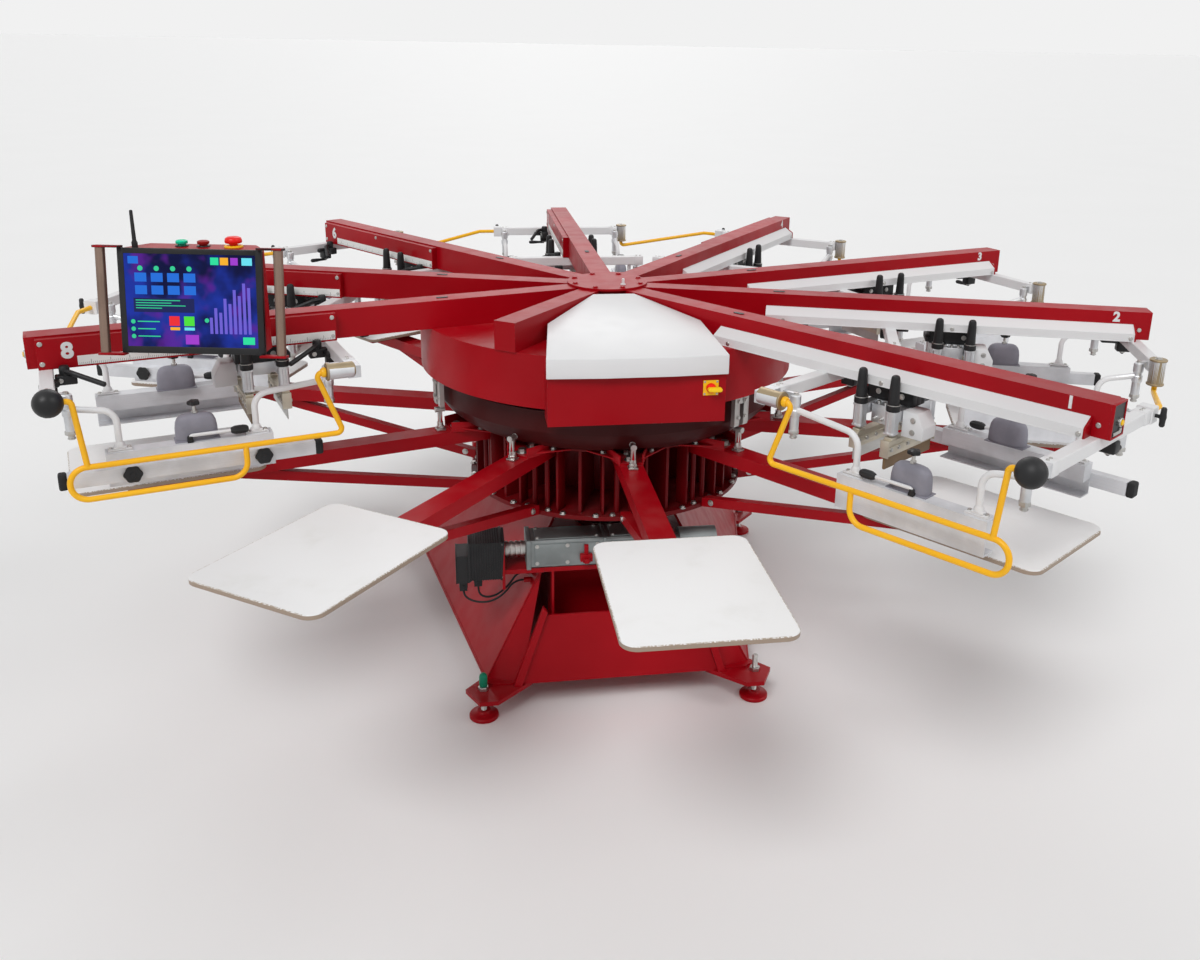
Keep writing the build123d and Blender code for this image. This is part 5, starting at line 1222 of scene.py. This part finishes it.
def panel():
    """Bezel, screen, buttons and grips of the operator panel."""
    lip = []
    for left, low, right, high in (
        (-194, -142, -176.5, 142), (176.5, -142, 194, 142), (-178, 127, 178, 142), (-178, -142, 178, -123)
    ):
        lip.append(placed(block((left, low, -11.6), (right, high, 1.6), 1.6), PANEL))
    single("bezel_lip", lip, bezel_plastic, "panel")
    touch_screen()
    start_x, stop_x, emergency_x, row = -46, 13, 96, 58
    cap = [(10.9, -8), (10.9, 7.3), (15.4, 7.5), (16, 8.6), (16, 14), (14, 16), (10, 16.4), (9, 15.4)]
    for kind, x, finish in (("start", start_x, start_green), ("stop", stop_x, stop_red)):
        button = single(f"{kind}_cap", [turned(cap, x, row, 0, 32, stand=BUTTONS)], finish, kind, smooth=40)
        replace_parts(button, f"{kind}_button")
    mushroom = [
        (10.9, -8), (10.9, 10.3), (17, 10.5), (21.6, 12), (23, 15), (23, 19), (21, 25), (16, 28), (8, 29),
        (0, 29.2),
    ]
    button = [turned(mushroom, emergency_x, row, 0, 40, stand=BUTTONS)]
    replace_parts(single("emergency_cap", button, mushroom_red, "emergency", smooth=50), "emergency_stop")
    ring = [(11.4, 2.9), (17, 2.9), (18, 1.5), (18, 0), (11.4, 0), (11.4, 2.9)]
    rings = [turned(ring, x, row, 0, 36, stand=BUTTONS) for x in (start_x, stop_x)]
    single("button_rings", rings, black_molding, "panel")
    yellow = [(11.6, 0), (25, 0), (25.5, 1), (25, 4), (19, 5), (11.6, 5), (11.6, 0)]
    single("emergency_ring", [turned(yellow, emergency_x, row, 0, 36, stand=BUTTONS)], plate_yellow, "panel")
    whip = [(8, 0), (8, 14), (6.5, 17), (5.4, 20), (4.4, 99), (3, 101)]
    single("antenna_base", [turned(whip, -160, 24, 0, 20, stand=BUTTONS)], black_rubber, "panel", smooth=40)
    plates, tubes = [], []
    tube = [(12.9, -141.6), (12.9, 141.6)]
    up_the_panel = Matrix.Rotation(radians(-90), 4, "X")
    for side in SIDES:
        x = side * 239
        for y in (-145, 145):
            plates.append(placed(block((x - 15, y - 3.4, -15.4), (x + 15, y + 3.4, 15.4), 2.4), PANEL))
            near, far = sorted((side * 184, side * 240))
            plates.append(placed(block((near, y - 3.2, -15), (far, y + 3.2, 15), 2), PANEL))
        tubes.append(turned(tube, x, 0, 0, 48, up_the_panel, 8, 0.02, PANEL))
    single("grip_plates", plates, red_enamel, "panel")
    single("grip_tubes", tubes, bronze, "panel")


def main_switch():
    """The switch's round base, its handle and the plate's screws."""
    x, z = 223, 1228
    base = [(15, 0), (15, 8), (13.6, 11), (11, 12.2)]
    dial = [turned(base, x, -690.3, z, 32, FACING_FRONT, 16, 0.02)]
    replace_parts(single("switch_base", dial, mushroom_red, "main_switch"), "switch_knob")
    handle = [(213, 1221.5), (249, 1221.5), (253, 1225), (253, 1231), (249, 1234.5), (213, 1234.5)]
    handle += [(209, 1230), (209, 1226)]
    single("switch_handle", [placed(prism(handle, -718.6, -702, 2), ALONG_Y)], plate_yellow, "main_switch")
    corners = [((x + dx, -690, z + dz), FRONT) for dx in (-19, 19) for dz in (-19, 19)]
    bolts("switch_screws", corners, 2.8, 1.2, 3.4, 0.3, 16)


def cables():
    """The motor's two cables, from their plugs to the glands on the base."""
    power = [
        (-482, -345, 438), (-482, -345, 412), (-470, -344, 394), (-446, -342, 387), (-412, -338, 396),
        (-376, -328, 424), (-345, -312, 462), (-317, -312, 462),
    ]
    feedback = [
        (-532, -345, 424), (-532, -345, 402), (-508, -349, 382), (-470, -355, 375), (-430, -357, 381),
        (-392, -350, 404), (-358, -330, 440), (-326, -330, 440),
    ]
    thick = 7 * MM
    for kind, route in (("power", power), ("feedback", feedback)):
        curve = bpy.data.curves.new(f"{kind}_cord", "CURVE")
        curve.dimensions = "3D"
        curve.bevel_depth = thick / 2
        curve.bevel_resolution = 5
        curve.use_fill_caps = True
        spline = curve.splines.new("NURBS")
        spline.points.add(len(route) - 1)
        for point, place in zip(spline.points, route):
            point.co = (*[MM * value for value in place], 1.0)
        spline.order_u = 3
        spline.use_endpoint_u = True
        spline.resolution_u = 8
        curve.materials.append(black_rubber.material)
        made = new_object(f"{kind}_cord", curve)
        finished(made, "frame")
        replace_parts(made, f"{kind}_cable")
        # The drawn curve cuts the route's corners by about 1.5 percent
        length = 0.985 * sum((Vector(b) - Vector(a)).length for a, b in zip(route, route[1:])) * MM
        start = tuple(MM * value for value in route[0])


def hood_shell():
    """The hood's own shape with its edges rounded."""
    form = bmesh.new()
    form.from_mesh(nodes["hood"].data)
    bmesh.ops.remove_doubles(form, verts=form.verts, dist=0.00002)
    bmesh.ops.dissolve_limit(form, angle_limit=radians(2.0), verts=form.verts, edges=form.edges)
    mesh = mesh_of(eased(form, 5 * MM, 3, 20))
    mesh.materials.append(white_enamel.material)
    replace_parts(piece("hood_shell", mesh, "frame", 35), "hood")


handles()
cylinder_covers()
hanger_details()
cross_arm_details()
ratchet_levers()
beam_details()
station_numbers()
guard_details()
carriages()
carousel_details()
fork_details()
hub_details()
feet()
drive_details()
welds()
panel()
main_switch()
cables()
hood_shell()


def studio():
    """Pale floor, soft lamps and a white surround."""
    reach = 300.0
    mesh = bpy.data.meshes.new("floor")
    mesh.from_pydata(
        [(-reach, -reach, 0), (reach, -reach, 0), (reach, reach, 0), (-reach, reach, 0)], [], [(0, 1, 2, 3)]
    )
    paint = Finish("floor_paint", Roughness=0.6, Specular_IOR_Level=0.2)
    paint.feed(Base_Color=paint.mix(paint.noise(0.8), (0.88, 0.88, 0.88), (0.90, 0.90, 0.90)))
    mesh.materials.append(paint.material)
    new_object("floor", mesh)
    world = bpy.data.worlds.new("studio")
    bpy.context.scene.world = world
    world.use_nodes = True
    tree = world.node_tree
    tree.nodes.clear()
    link = tree.links.new
    rays = tree.nodes.new("ShaderNodeLightPath")
    choice = tree.nodes.new("ShaderNodeMixShader")
    # The surround lights the machine softly, and is seen as pale grey, in reflections too
    seen = rays.outputs["Is Camera Ray"]
    for kind in ("Is Glossy Ray", "Is Transmission Ray"):
        either = tree.nodes.new("ShaderNodeMath")
        either.operation = "MAXIMUM"
        link(seen, either.inputs[0])
        link(rays.outputs[kind], either.inputs[1])
        seen = either.outputs[0]
    link(seen, choice.inputs[0])
    for index, (tone, strength) in enumerate(((1.0, 0.34), (0.88, 1.0))):
        background = tree.nodes.new("ShaderNodeBackground")
        background.inputs[0].default_value = (tone, tone, tone, 1.0)
        background.inputs[1].default_value = strength
        link(background.outputs[0], choice.inputs[1 + index])
    link(choice.outputs[0], tree.nodes.new("ShaderNodeOutputWorld").inputs[0])
    for name, toward, strength in (
        ("key_lamp", (-0.45, -0.75, 1.0), 1.7), ("side_lamp", (0.9, -0.35, 0.7), 0.55),
        ("back_lamp", (0.1, 1.0, 0.6), 0.4),
    ):
        lamp = bpy.data.lights.new(name, "SUN")
        lamp.angle = radians(25)
        lamp.energy = strength
        new_object(name, lamp).rotation_euler = Vector(toward).to_track_quat("Z", "Y").to_euler()


def camera():
    """The photograph's camera: 1200 x 960 frame, focal length 1120.91 px, axis through (640, 400)."""
    width, height, focal_length, axis_x, axis_y = 1200, 960, 1120.91, 640, 400
    yaw, pitch, roll = 0.0319, 0.3136, 0.0199
    ahead = Vector((sin(yaw) * cos(pitch), cos(yaw) * cos(pitch), -sin(pitch)))
    right = Vector((cos(yaw), -sin(yaw), 0))
    up = right.cross(ahead)
    across = right * cos(roll) + up * sin(roll)
    upright = up * cos(roll) - right * sin(roll)
    basis = Matrix((across, upright, -ahead)).transposed().to_4x4()
    lens = bpy.data.cameras.new("camera")
    lens.sensor_width = 36.0
    lens.sensor_fit = "HORIZONTAL"
    lens.lens = lens.sensor_width * focal_length / width
    lens.shift_x = (width / 2 - axis_x) / width
    lens.shift_y = (axis_y - height / 2) / width
    holder = new_object("camera", lens)
    turn = Matrix.Rotation(radians(-7.897), 4, "Z")
    holder.matrix_world = turn @ (Matrix.Translation((0, -3.8693, 2.2308)) @ basis)
    bpy.context.scene.camera = holder


studio()
camera()
bpy.context.scene.view_settings.view_transform = "Standard"
